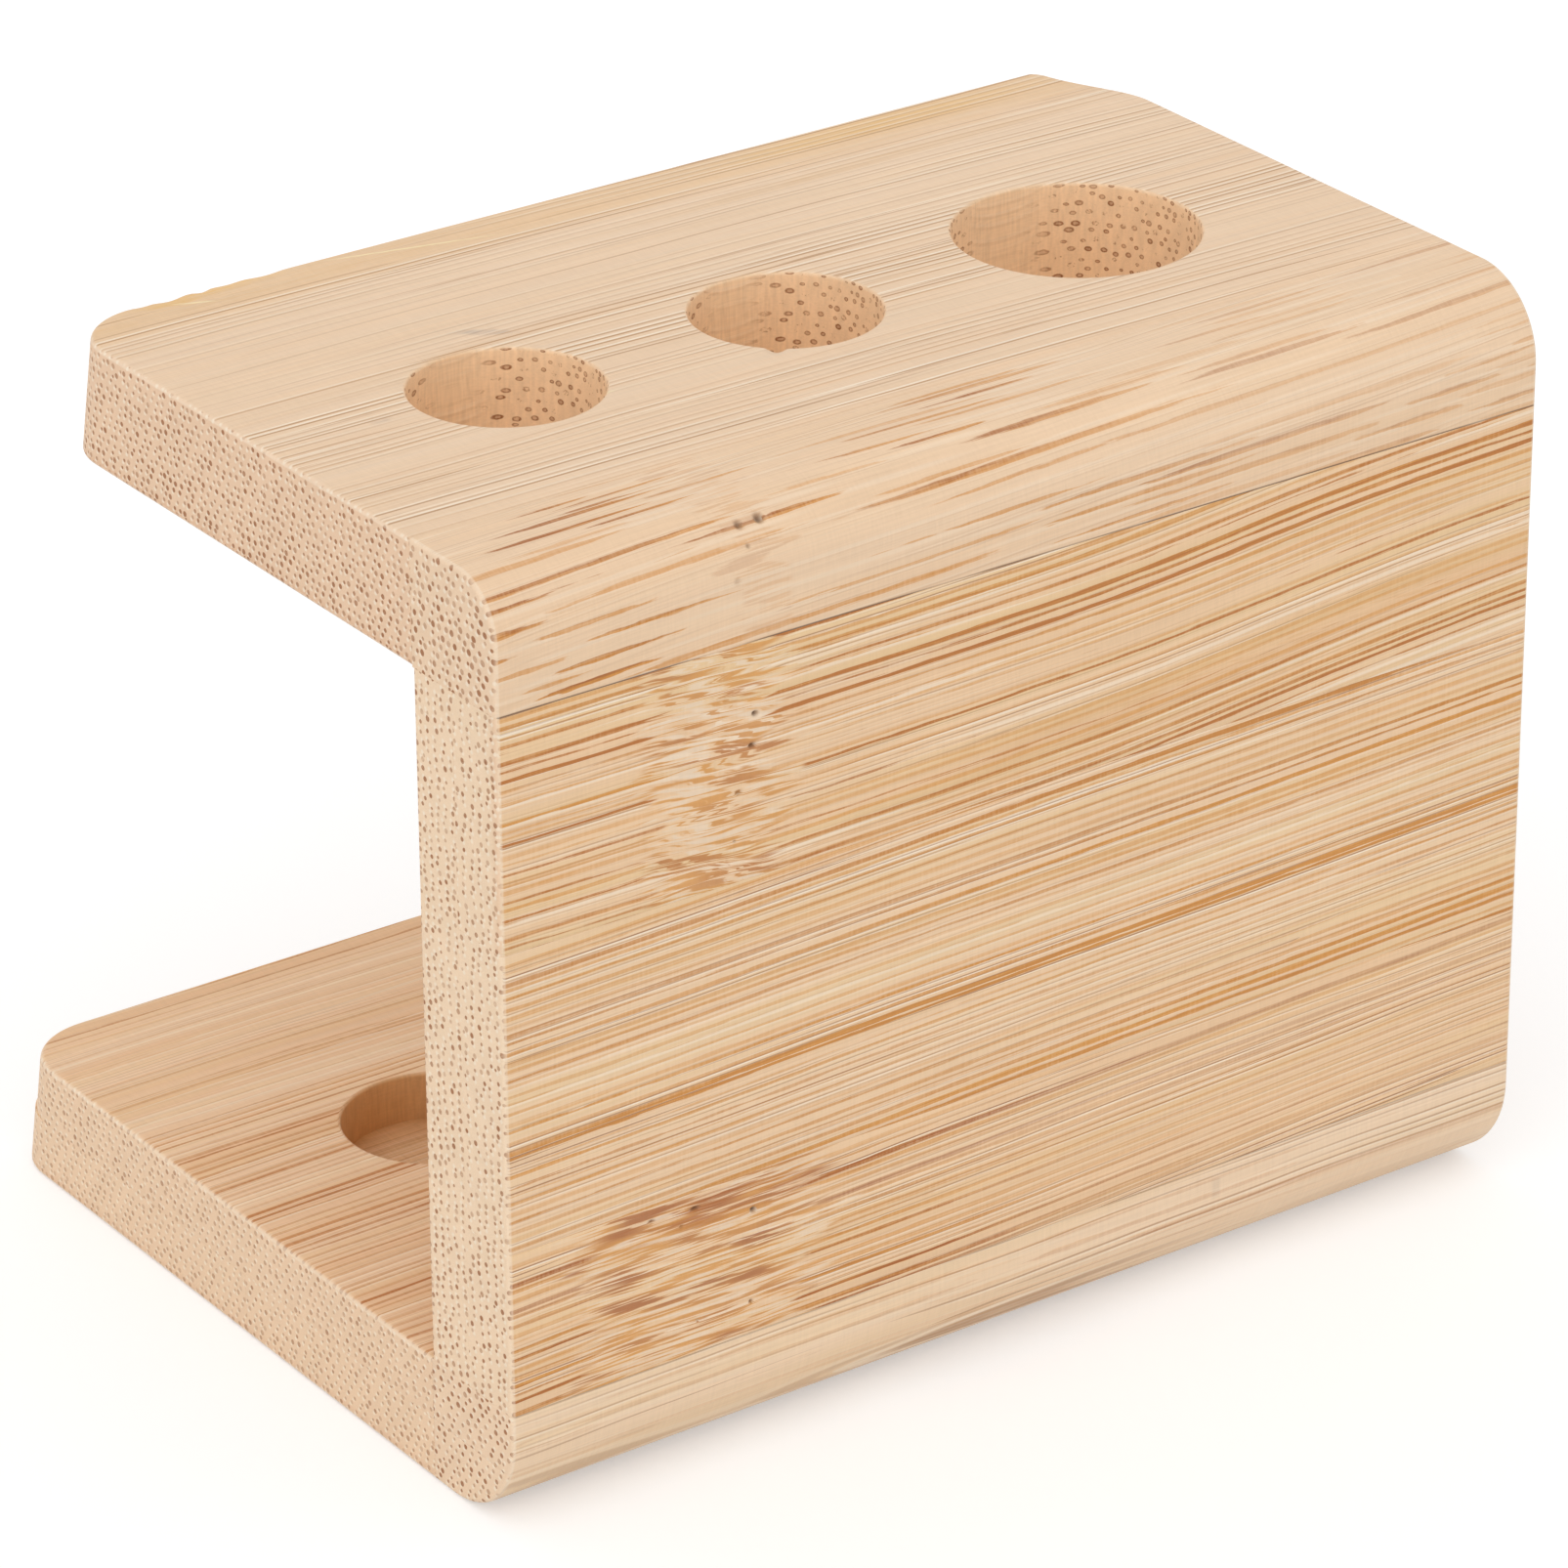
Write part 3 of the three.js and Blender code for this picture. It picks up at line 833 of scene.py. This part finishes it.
def bamboo(node, finish, colours):
    """Bamboo for one node: ground colour in bands, stains, fibres, scar and the lines of the bundles over each other.

    The same bundles are dots where a face looks along the grain and lines where it doesn't. Marks of the mesh give
    pale edges that are partly wear and partly a painted highlight, bored walls painted lighter in the shelf's bores as
    painted light and darker in the seats as painted shade, and pits darkened with painted shade; the fibres give
    roughness and a fine relief.
    """
    material = bpy.data.materials.new(f"{node.replace('_', ' ')} bamboo")
    material.use_nodes = True
    tree = material.node_tree
    shader = tree.nodes["Principled BSDF"]
    tones = {tone: solid(finish["tones"].get(tone, getattr(colours, tone))) for tone in BambooColours.__annotations__}

    def own(*names):
        return {key: finish[key] for key in ("seed", *names)}

    place = culm_place(tree, node, finish["skin_side"])
    along, _, depth = parts(tree, place)
    run, off = placed_effect(tree, "Fibre run", place=place, **own(
        "climb", "bend", "sag", "dive", "wander", "waves", "scar_along", "scar_width", "scar_drop"))
    edge, bored, pit = (mark(tree, layer) for layer in ("arris", "cut", "pit"))
    facing = tree.nodes.new("ShaderNodeNewGeometry")
    nx, _, _ = parts(tree, Reading(tree, facing.outputs["Normal"]))
    end = abs(nx).rise(END_FROM + bored * (BORED_FROM - END_FROM), END_TO + bored * (BORED_TO - END_TO))
    long = 1.0 - end
    wider = 1.0 + bored * BORED_WIDER

    def cut_or_long(cut, drawn):
        return end * cut + long * drawn

    sheath, painted_glint, hue, side = placed_effect(
        tree, "Fibre bundles", place=run, spacing=wider * finish["spacing"], core=wider * finish["core"],
        width=cut_or_long(finish["dot_width"], finish["width"]) * wider, squash=cut_or_long(1.0, finish["squash"]),
        fray=cut_or_long(END_FRAY, finish["fray"]), hollow=bored * BORED_HOLLOW, **own("skin"))
    brown, pale, fine, sanded = placed_effect(tree, "Single fibres", place=run, **own("pitch"))
    band, straw, mottle = placed_effect(tree, "Tone bands", place=run, **own())
    scar = placed_effect(tree, "Joint scar", place=run, off=off, **own()) if finish["scar"] else None
    kept = 1.0 - scar[0] * finish["scar"] if scar else 1.0

    wood = mixed(tree, band * finish["band"], tones["pale"], tones["warm"])
    wood = mixed(tree, straw * finish["straw"], wood, tones["straw"])
    for x, across, length, width, lean, streaky, colour, share in finish["stains"]:
        spot, = placed_effect(tree, "Stain", place=place, along=x, across=across, length=length, width=width,
                              lean=lean, level=finish["stain_level"], streaky=streaky, **own())
        wood = mixed(tree, spot * share, wood, solid(colour))
    wood = mixed(tree, end * END_SHARE, wood, tones["end"])
    wood = mixed(tree, end * depth.rise(RIND_DEPTH, 0.1) * finish["rind"], wood, tones["skin"])
    # Bored walls: the orange of cut wood is real; the shelf's bores are painted paler to make up for the shade inside
    # them, which is painted light, and the seats are painted dark, which is painted shade, less on their floors
    wood = mixed(tree, bored * finish["bored"], wood, tones["bored"])
    hair = long * (1.0 - bored * BORED_HAIRLESS) * kept * finish["hair"]
    wood = mixed(tree, pale * hair, wood, tones["fibre"])
    wood = mixed(tree, brown * hair, wood, tones["grey"])
    # Painted highlight beside the bundles, in the pale fibre colour
    wood = mixed(tree, painted_glint * cut_or_long(END_PAINTED_GLINT, finish["lines"] * finish["painted_glint"]) * (1.0 - bored), wood,
                 tones["fibre"])
    if scar:
        _, dash, fleck, crowd = scar
        torn = mixed(tree, crowd.rise(-0.1, 0.2), tones["streak"], tones["deep"])
        wood = mixed(tree, fleck * long * finish["scar"] * FLECK_SHARE, wood, tones["fleck"])
        wood = mixed(tree, dash * long * finish["scar"] * DASH_SHARE, wood, torn)

    line = mixed(tree, (hue + side * 0.35).rise(0.45, 1.1), tones["streak"], tones["deep"])
    line = mixed(tree, end, line, tones["dot"])
    line = mixed(tree, bored, line, tones["hole"])
    first, last, share = finish["quiet"]
    crowded = cut_or_long(1.0, 1.0 - finish["crowds"] + band * finish["crowds"])
    crowded = crowded * (1.0 - along.rise(first, last) * share)
    crowded = crowded * (1.0 - depth.rise(FADE_FROM, FADE_TO) * finish["fade"])
    strength = (0.5 + hue * 0.75) * crowded * cut_or_long(finish["dots"], finish["lines"]) * (1.0 - sanded * 0.5)
    strength = strength * (1.0 - bored * (1.0 - hue.rise(0.15, 0.3) * finish["bore_dots"])) * kept
    wood = mixed(tree, sheath * strength, wood, line)
    broken = noise(tree, along * 0.06, finish["seed"], 0.0).rise(-0.2, 0.0)
    wood = mixed(tree, depth.rise(GLUE_DEPTH, GLUE_DEPTH / 3) * broken * finish["glue"] * long, wood, tones["pit"])
    # Pale rounded edges: partly wear, partly a painted highlight along the arris
    wood = mixed(tree, edge * WEAR_AND_HIGHLIGHT_SHARE, wood, tones["fibre"])
    # Painted shade darkening the dents
    wood = mixed(tree, pit, wood, tones["pit"])
    shade = tree.nodes.new("ShaderNodeHueSaturation")
    feed(tree, shade.inputs["Color"], wood)
    feed(tree, shade.inputs["Value"], 1.0 + fine * 0.16 + mottle * 0.08 + sanded * (0.09 + bored * 0.2))
    tree.links.new(shade.outputs["Color"], shader.inputs["Base Color"])
    feed(tree, shader.inputs["Roughness"], 0.6 + fine * 0.3 + sheath * 0.06)
    shader.inputs["Specular IOR Level"].default_value = GLOSS
    bump = tree.nodes.new("ShaderNodeBump")
    bump.inputs["Strength"].default_value = RELIEF_STRENGTH
    bump.inputs["Distance"].default_value = RELIEF
    feed(tree, bump.inputs["Height"], fine * 1.2 + sanded - sheath * 0.5 - brown * 0.4)
    tree.links.new(bump.outputs["Normal"], shader.inputs["Normal"])
    return material


# A finish says how the fibres run, where a scar is, how the bundles lie and how strongly each part of the grain shows.
# Tones are its own colours. A stain is x, across, length, width, lean, streaky, colour and share, and stain level is
# how deep below the skin side the stained face lies.
# Glint is how strongly the painted highlight beside the bundles shows.
PLAIN = {
    "climb": 0.0, "bend": -300.0, "sag": 0.0, "dive": 0.0, "wander": 0.7, "waves": 0.4,
    "scar_along": 0.0, "scar_width": 6.0, "scar_drop": 0.0, "scar": 0.0,
    "spacing": 0.95, "skin": 0.62, "core": 0.8, "width": 0.22, "dot_width": 0.235, "squash": 0.7, "fray": 0.3,
    "lines": 0.8, "painted_glint": 0.6, "crowds": 0.5, "quiet": (0.0, 1.0, 0.0), "fade": 0.0, "dots": 0.95, "rind": 0.0,
    "bored": 0.4, "bore_dots": 0.0, "hair": 0.7, "pitch": 0.45, "band": 0.5, "straw": 0.25, "glue": 0.0,
    "stain_level": 0.0, "stains": (), "tones": {}}
YELLOW = (0.82, 0.51, 0.20)
SMUDGE = (0.36, 0.31, 0.28)
SPLINTER = (0.93, 0.76, 0.46)
RED = (0.50, 0.21, 0.09)
CUT = (0.90, 0.69, 0.49)
FRONT_SLAT = {"spacing": 0.76, "skin": 0.9, "core": 1.2, "lines": 1.0, "hair": 1.0, "dots": 0.8}
FOOT_TOP = {"band": 0.8, "hair": 0.3, "dots": 0.6}
FOOT_TONES = {"pale": (0.87, 0.62, 0.405), "warm": (0.80, 0.50, 0.28), "streak": (0.60, 0.28, 0.105)}
FOOT_STRIP = {"band": 0.15, "tones": {"pale": (0.89, 0.68, 0.48)}}

FINISHES = {
    "top_shelf": {
        "skin_side": SKIN_DOWN, "seed": 1.3, "lines": 0.08, "hair": 0.9, "pitch": 0.85, "band": 0.25,
        "straw": 0.05, "spacing": 0.85, "squash": 1.0, "fade": 0.2, "dots": 1.0, "rind": 0.5, "bored": 0.6,
        "bore_dots": 0.9, "stain_level": SHELF_TOP - SHELF_LOW[2],
        "tones": {"pale": (0.84, 0.62, 0.43), "grey": (0.50, 0.28, 0.14), "end": (0.84, 0.58, 0.39),
                  # The bored colour is painted light: paler than a cut wall to make up for the shade inside the bores
                  "bored": (0.90, 0.63, 0.37)},
        "stains": ((0.0, 21.0, 300.0, 5.0, 0.0, 0.3, (0.80, 0.53, 0.29), 0.8),
                   (28.0, 20.4, 19.0, 2.0, 0.0, 0.3, YELLOW, 0.7),
                   (22.0, 14.0, 30.0, 0.9, 0.01, 0.5, (0.72, 0.45, 0.22), 0.4),
                   (-40.5, 21.4, 3.4, 0.5, -0.1, 0.3, YELLOW, 0.9),
                   (-18.5, 20.2, 8.5, 0.16, -0.24, 0.0, SPLINTER, 0.9),
                   (-38.8, 20.6, 2.2, 0.2, -0.5, 0.0, SPLINTER, 0.9),
                   (-37.0, 22.0, 8.0, 0.9, 0.0, 0.6, YELLOW, 0.9),
                   (-24.0, -13.8, 2.4, 0.2, 0.05, 0.0, SPLINTER, 0.9),
                   (-23.7, 2.0, 2.6, 0.9, -0.62, 0.5, SMUDGE, 0.5),
                   (-39.7, -8.0, 1.1, 0.7, 0.0, 0.5, SMUDGE, 0.3))},
    "top_edge_strip": {
        "skin_side": SKIN_DOWN, "seed": 2.1, "climb": 0.036, "dive": -0.03, "waves": 0.8,
        "spacing": 0.88, "skin": 0.66, "core": 0.88, "width": 0.26, "dot_width": 0.27, "fray": 0.35, "squash": 1.0,
        "lines": 1.0, "painted_glint": 0.25, "crowds": 0.1, "fade": 0.2, "quiet": (-5.0, 25.0, 0.5), "scar_along": -26.5,
        "scar_width": 2.2, "scar": 0.3, "hair": 0.3, "band": 0.3, "straw": 0.05, "glue": 0.85,
        "tones": {"pale": (0.85, 0.62, 0.42), "streak": (0.66, 0.29, 0.07), "deep": (0.42, 0.155, 0.05)}},
    "upright_upper_slat": {
        "skin_side": SKIN_FRONT, **FRONT_SLAT, "seed": 3.7, "climb": -0.04, "bend": -22.0,
        "sag": 0.9, "wander": 0.5, "waves": 0.6, "scar_along": -30.5, "scar_drop": 1.0, "scar": 1.0, "straw": 0.5,
        "crowds": 0.2, "squash": 0.38, "rind": 0.35, "tones": {"end": CUT},
        "stains": ((22.0, -56.0, 44.0, 3.4, -0.07, 0.4, (0.68, 0.36, 0.13), 0.4),)},
    "upright_middle_slat": {
        "skin_side": SKIN_FRONT, **FRONT_SLAT, "seed": 4.2, "climb": -0.025, "wander": 0.25,
        "waves": 0.35, "straw": 0.4, "squash": 0.55,
        "tones": {"pale": (0.875, 0.635, 0.415), "deep": (0.58, 0.25, 0.07), "end": CUT}},
    "upright_lower_slat": {
        "skin_side": SKIN_FRONT, **FRONT_SLAT, "seed": 5.9, "climb": -0.03, "wander": 0.5,
        "waves": 0.9, "scar_along": -32.0, "scar_width": 11.0, "scar_drop": 0.35, "scar": 1.0, "straw": 0.3,
        "squash": 0.5, "dots": 0.85, "quiet": (-18.0, 8.0, 0.5), "tones": {"deep": (0.41, 0.14, 0.045), "end": CUT},
        "stains": ((-31.0, -23.4, 13.0, 2.4, 0.0, 0.9, RED, 0.95),)},
    "upright_inner_ply": {
        "skin_side": SKIN_REAR, "seed": 6.4, "spacing": 0.76, "skin": 0.8, "core": 1.2,
        "dots": 0.8, "tones": {"end": CUT}},
    "base_upper_front_slat": {
        "skin_side": SKIN_UP, **FOOT_TOP, "seed": 7.2, "lines": 0.95, "bored": 0.9,
        # The dark bored colour is painted shade in the seats
        "tones": {**FOOT_TONES, "bored": (0.60, 0.33, 0.135)}},
    "base_upper_rear_slat": {
        "skin_side": SKIN_UP, **FOOT_TOP, "seed": 8.8, "lines": 0.6, "tones": FOOT_TONES},
    "base_lower_front_slat": {
        "skin_side": SKIN_DOWN, "seed": 9.5, "rind": 0.35, "dots": 0.6},
    "base_lower_rear_slat": {
        "skin_side": SKIN_DOWN, "seed": 10.1, "rind": 0.35, "dots": 0.5},
    "base_strip_upper_ply": {
        "skin_side": SKIN_UP, **FOOT_STRIP, "seed": 11.6, "lines": 0.28, "glue": 0.4,
        "stain_level": 2.1, "stains": ((18.9, -FRONT, 0.6, 3.0, 0.0, 0.0, SMUDGE, 0.15),)},
    "base_strip_lower_ply": {
        "skin_side": SKIN_DOWN, **FOOT_STRIP, "seed": 12.3, "lines": 0.25},
}


# Values that a user would change

def length(name, description, size):
    """Length property, from a size in millimetres."""
    return FloatProperty(name=name, description=description, default=size * MM, unit="LENGTH")


def angle(name, description, degrees):
    """Angle property, from degrees."""
    return FloatProperty(name=name, description=description, default=math.radians(degrees), subtype="ANGLE")


def tint(name, description, colour):
    """Colour property, from linear values."""
    return FloatVectorProperty(name=name, description=description, default=colour, subtype="COLOR", min=0, max=1)


class StandSizes(PropertyGroup):
    """Sizes of the visible edges and marks."""

    arris_ease: length("Arris", "Rounding of the exposed edges of the boards", 0.4)
    seam_ease: length("Seam", "Rounding of the glued edges, which makes the hairline seams", 0.03)
    rim_ease: length("Rim", "Rounding of the rims of the bores and seats", 0.3)
    fillet_left: length("Fillet, left", "Radius of the top strip's edge at the left end", TOP_FILLET - 0.9)
    fillet_right: length("Fillet, right", "Radius of the top strip's edge at the right end", TOP_FILLET + 1.2)
    chip_corner: length("Chipped corner", "Radius of the shelf's chipped rear right corner", 1.5)
    foot_fillet: length("Foot fillet", "Radius of the rounded edge below the upright", FOOT_FILLET)


class BambooColours(PropertyGroup):
    """Colours of the wood."""

    pale: tint("Pale", "Ground colour of the palest wood", (0.87, 0.61, 0.38))
    warm: tint("Warm", "Ground colour of the warm bands", (0.81, 0.54, 0.325))
    straw: tint("Straw", "Ground colour of the yellow bands", (0.80, 0.57, 0.29))
    streak: tint("Streak", "Lines that the fibre bundles draw", (0.70, 0.33, 0.09))
    deep: tint("Deep streak", "The darkest of those lines", (0.50, 0.19, 0.055))
    # The fibre colour also paints the highlights beside the bundles and along the rounded edges
    fibre: tint("Fibre", "Pale single fibres and worn edges", (0.94, 0.80, 0.63))
    fleck: tint("Fleck", "Torn wood in the scars of the joints", (0.85, 0.68, 0.51))
    grey: tint("Grey line", "Thin dark single fibres", (0.44, 0.235, 0.125))
    end: tint("End grain", "Ground colour of the cut ends", (0.86, 0.63, 0.435))
    dot: tint("End dot", "Fibre bundles cut across", (0.39, 0.175, 0.08))
    skin: tint("Skin", "End grain next to the skin", (0.72, 0.40, 0.22))
    # The finishes set it paler as painted light in the shelf's bores and darker as painted shade in the seats
    bored: tint("Bored", "Walls of the bores and seats", (0.73, 0.44, 0.21))
    hole: tint("Bored dot", "Fibre bundles in those walls", (0.30, 0.12, 0.045))
    # The pit colour is painted shade in the dents, and the glue lines' own dark colour
    pit: tint("Pit", "Small pits and glue lines", (0.16, 0.085, 0.045))


class StandStage(PropertyGroup):
    """Light and camera."""

    sky: FloatProperty(name="Sky", description="Strength of the even light from all sides", default=0.8)
    sun: FloatProperty(name="Sun", description="Strength of the soft light from above", default=0.75)
    sun_size: angle("Sun size", "Width of the soft light as seen from the stand", 80)
    lens: FloatProperty(name="Lens", description="Focal length on a 36 mm sensor, in millimetres", default=175.86)
    distance: length("Distance", "From the camera to its target", 626.7)
    target: FloatVectorProperty(name="Target", description="Point at the middle of the picture", subtype="XYZ",
                                default=(-0.771 * MM, -6.133 * MM, 38.142 * MM))
    azimuth: angle("Azimuth", "Camera's angle round the stand", -35.237)
    elevation: angle("Elevation", "Camera's angle above the horizon", 25.991)
    roll: angle("Roll", "Camera's turn about its line of sight", -0.293)


def eases(context):
    """Sizes of the stand, and its exposed and glued edge rounding in millimetres."""
    sizes = context.scene.stand_sizes
    return sizes, sizes.arris_ease / MM, sizes.seam_ease / MM


class STAND_OT_grain(Operator):
    """Makes the node groups that every bamboo material shares."""

    bl_idname = "stand.grain"
    bl_label = "Grain"

    def execute(self, context):
        for name, (wire, inputs, outputs) in EFFECTS.items():
            effect(name, wire, inputs, outputs)
        return {"FINISHED"}


class STAND_OT_top_shelf(Operator):
    """Makes the bored top shelf."""

    bl_idname = "stand.top_shelf"
    bl_label = "Top shelf"

    def execute(self, context):
        sizes, ease, seam = eases(context)
        worn = (seam, ease, ease, ease)
        piece = board("top_shelf", "shelf_board", sizes, worn, worn, bores=round_row("bore_", "top_shelf"),
                      right_corner=sizes.chip_corner / MM, dents=SHELF_DENTS)
        settle(context, piece, "top_shelf")
        return {"FINISHED"}


class STAND_OT_strips(Operator):
    """Makes the rounded corner strips above and below the upright."""

    bl_idname = "stand.strips"
    bl_label = "Corner strips"

    def execute(self, context):
        sizes, ease, seam = eases(context)
        low, high = node_box("top_edge_strip")
        radii = (sizes.fillet_left / MM, sizes.fillet_right / MM)
        piece = bar("top_edge_strip", "top_strip", sizes, (seam, ease, ease, seam),
                    fillet=lambda x: np.interp(x, (low[0], high[0]), radii), dents=STRIP_DENTS)
        settle(context, piece, "top_edge_strip")
        for level in ("upper", "lower"):
            node = f"base_strip_{level}_ply"
            piece = foot_strip(node, f"foot_strip_{level}", sizes, ease, seam)
            settle(context, piece, node)
        return {"FINISHED"}


class STAND_OT_upright(Operator):
    """Makes the three outer slats and the inner ply of the upright."""

    bl_idname = "stand.upright"
    bl_label = "Upright"

    def execute(self, context):
        sizes, ease, seam = eases(context)
        for name in ("upper_slat", "middle_slat", "lower_slat"):
            node = f"upright_{name}"
            piece = bar(node, name, sizes, (seam, seam, ease, seam), dents=SLAT_DENTS.get(node, ()))
            settle(context, piece, node)
        piece = bar("upright_inner_ply", "inner_ply", sizes, (seam, seam, seam, ease))
        settle(context, piece, "upright_inner_ply")
        return {"FINISHED"}


class STAND_OT_base(Operator):
    """Makes the four slats of the base."""

    bl_idname = "stand.base"
    bl_label = "Base"

    def execute(self, context):
        sizes, ease, seam = eases(context)
        seats = round_row("seat_space", "base_upper_front_slat")
        glued = (seam,) * 4
        front, rear = (seam, seam, ease, ease), (seam, ease, ease, ease)
        for node, name, below, above, cut in (("base_upper_front_slat", "seat_slat", glued, front, seats),
                                              ("base_upper_rear_slat", "rear_slat", glued, rear, ()),
                                              ("base_lower_front_slat", "lower_front_slat", front, glued, ()),
                                              ("base_lower_rear_slat", "lower_rear_slat", rear, glued, ())):
            piece = board(node, name, sizes, below, above, seats=cut)
            settle(context, piece, node)
        return {"FINISHED"}


SUN_TURN = (math.radians(50), 0, math.radians(-45))
FLOOR_SIDE, FLOOR_LEVEL = 3.0, -0.05 * MM
FLOOR_LIT, FLOOR_SEEN, FLOOR_GLOW = 0.82, 0.75, 0.36  # Grey for the light it sends back, grey and glow as it is seen
SENSOR = 36


class STAND_OT_stage(Operator):
    """Makes the floor, the light and the camera."""

    bl_idname = "stand.stage"
    bl_label = "Stage"

    def execute(self, context):
        stage = context.scene.stand_stage
        scene = context.scene
        scene.view_settings.view_transform = "Standard"
        scene.collection.objects.link(make_camera(stage))
        scene.camera = bpy.data.objects["camera"]
        scene.world = white_world(stage.sky)
        light = bpy.data.lights.new("soft light", "SUN")
        light.energy = stage.sun
        light.angle = stage.sun_size
        lamp = bpy.data.objects.new("soft light", light)
        lamp.rotation_euler = SUN_TURN
        scene.collection.objects.link(lamp)
        corners = [(-1, -1), (1, -1), (1, 1), (-1, 1)]
        mesh = bpy.data.meshes.new("floor")
        mesh.from_pydata([(x * FLOOR_SIDE, y * FLOOR_SIDE, FLOOR_LEVEL) for x, y in corners], [], [(0, 1, 2, 3)])
        mesh.materials.append(floor_finish())
        floor = bpy.data.objects.new("floor", mesh)
        scene.collection.objects.link(floor)
        return {"FINISHED"}


def make_camera(stage):
    """Camera on the line through the target that the azimuth and elevation give, rolled about that line."""
    az, el = stage.azimuth, stage.elevation
    back = Vector((math.sin(az) * math.cos(el), -math.cos(az) * math.cos(el), math.sin(el)))
    level = Vector((math.cos(az), math.sin(az), 0))
    rise = back.cross(level)
    right = level * math.cos(stage.roll) + rise * math.sin(stage.roll)
    up = rise * math.cos(stage.roll) - level * math.sin(stage.roll)
    lens = bpy.data.cameras.new("camera")
    lens.lens = stage.lens
    lens.sensor_width = SENSOR
    lens.clip_start = 0.01
    lens.clip_end = 100
    camera = bpy.data.objects.new("camera", lens)
    turn = Matrix((right, up, back)).transposed().to_4x4()
    camera.matrix_world = Matrix.Translation(Vector(stage.target) + back * stage.distance) @ turn
    return camera


def seen_directly(tree):
    """1 for rays that show the background: straight to the camera, or by gloss or glass."""
    path = tree.nodes.new("ShaderNodeLightPath")
    shown = Reading(tree, path.outputs["Is Camera Ray"]) + Reading(tree, path.outputs["Is Glossy Ray"])
    return (shown + Reading(tree, path.outputs["Is Transmission Ray"])).least(1.0)


def white_world(sky):
    """World that looks white and lights the stand with the given strength."""
    world = bpy.data.worlds.new("even light")
    world.use_nodes = True
    tree = world.node_tree
    background = tree.nodes["Background"]
    background.inputs["Color"].default_value = (1, 1, 1, 1)
    shown = seen_directly(tree)
    feed(tree, background.inputs["Strength"], shown + (1.0 - shown) * sky)
    return world


def floor_finish():
    """Matt floor that looks white and sends a little less light back to the stand."""
    material = bpy.data.materials.new("pale floor")
    material.use_nodes = True
    tree = material.node_tree
    shader = tree.nodes["Principled BSDF"]
    shader.inputs["Roughness"].default_value = 1.0
    shader.inputs["Specular IOR Level"].default_value = 0.0
    shown = seen_directly(tree)
    lit, seen, glow, dark = (solid((level,) * 3) for level in (FLOOR_LIT, FLOOR_SEEN, FLOOR_GLOW, 0.0))
    feed(tree, shader.inputs["Base Color"], mixed(tree, shown, lit, seen))
    feed(tree, shader.inputs["Emission Color"], mixed(tree, shown, dark, glow))
    shader.inputs["Emission Strength"].default_value = 1.0
    return material


class STAND_PT_panel(Panel):
    """Lists the steps that make the stand, with the values they use."""

    bl_idname = "STAND_PT_panel"
    bl_label = "Toothbrush stand"
    bl_space_type = "VIEW_3D"
    bl_region_type = "UI"
    bl_category = "Stand"

    def draw(self, context):
        for values in (context.scene.stand_sizes, context.scene.bamboo_colours, context.scene.stand_stage):
            for name in values.__annotations__:
                self.layout.prop(values, name)
        for operator in OPERATORS:
            self.layout.operator(operator.bl_idname)


OPERATORS = (STAND_OT_grain, STAND_OT_top_shelf, STAND_OT_strips, STAND_OT_upright, STAND_OT_base, STAND_OT_stage)
CLASSES = (StandSizes, BambooColours, StandStage, *OPERATORS, STAND_PT_panel)


def register():
    for kind in CLASSES:
        bpy.utils.register_class(kind)
    bpy.types.Scene.stand_sizes = PointerProperty(type=StandSizes)
    bpy.types.Scene.bamboo_colours = PointerProperty(type=BambooColours)
    bpy.types.Scene.stand_stage = PointerProperty(type=StandStage)


def unregister():
    del bpy.types.Scene.stand_stage
    del bpy.types.Scene.bamboo_colours
    del bpy.types.Scene.stand_sizes
    for kind in reversed(CLASSES):
        bpy.utils.unregister_class(kind)


def main():
    """Makes every piece and the stage in order."""
    register()
    bpy.ops.stand.grain()
    bpy.ops.stand.top_shelf()
    bpy.ops.stand.strips()
    bpy.ops.stand.upright()
    bpy.ops.stand.base()
    bpy.ops.stand.stage()


if __name__ == "__main__":
    main()
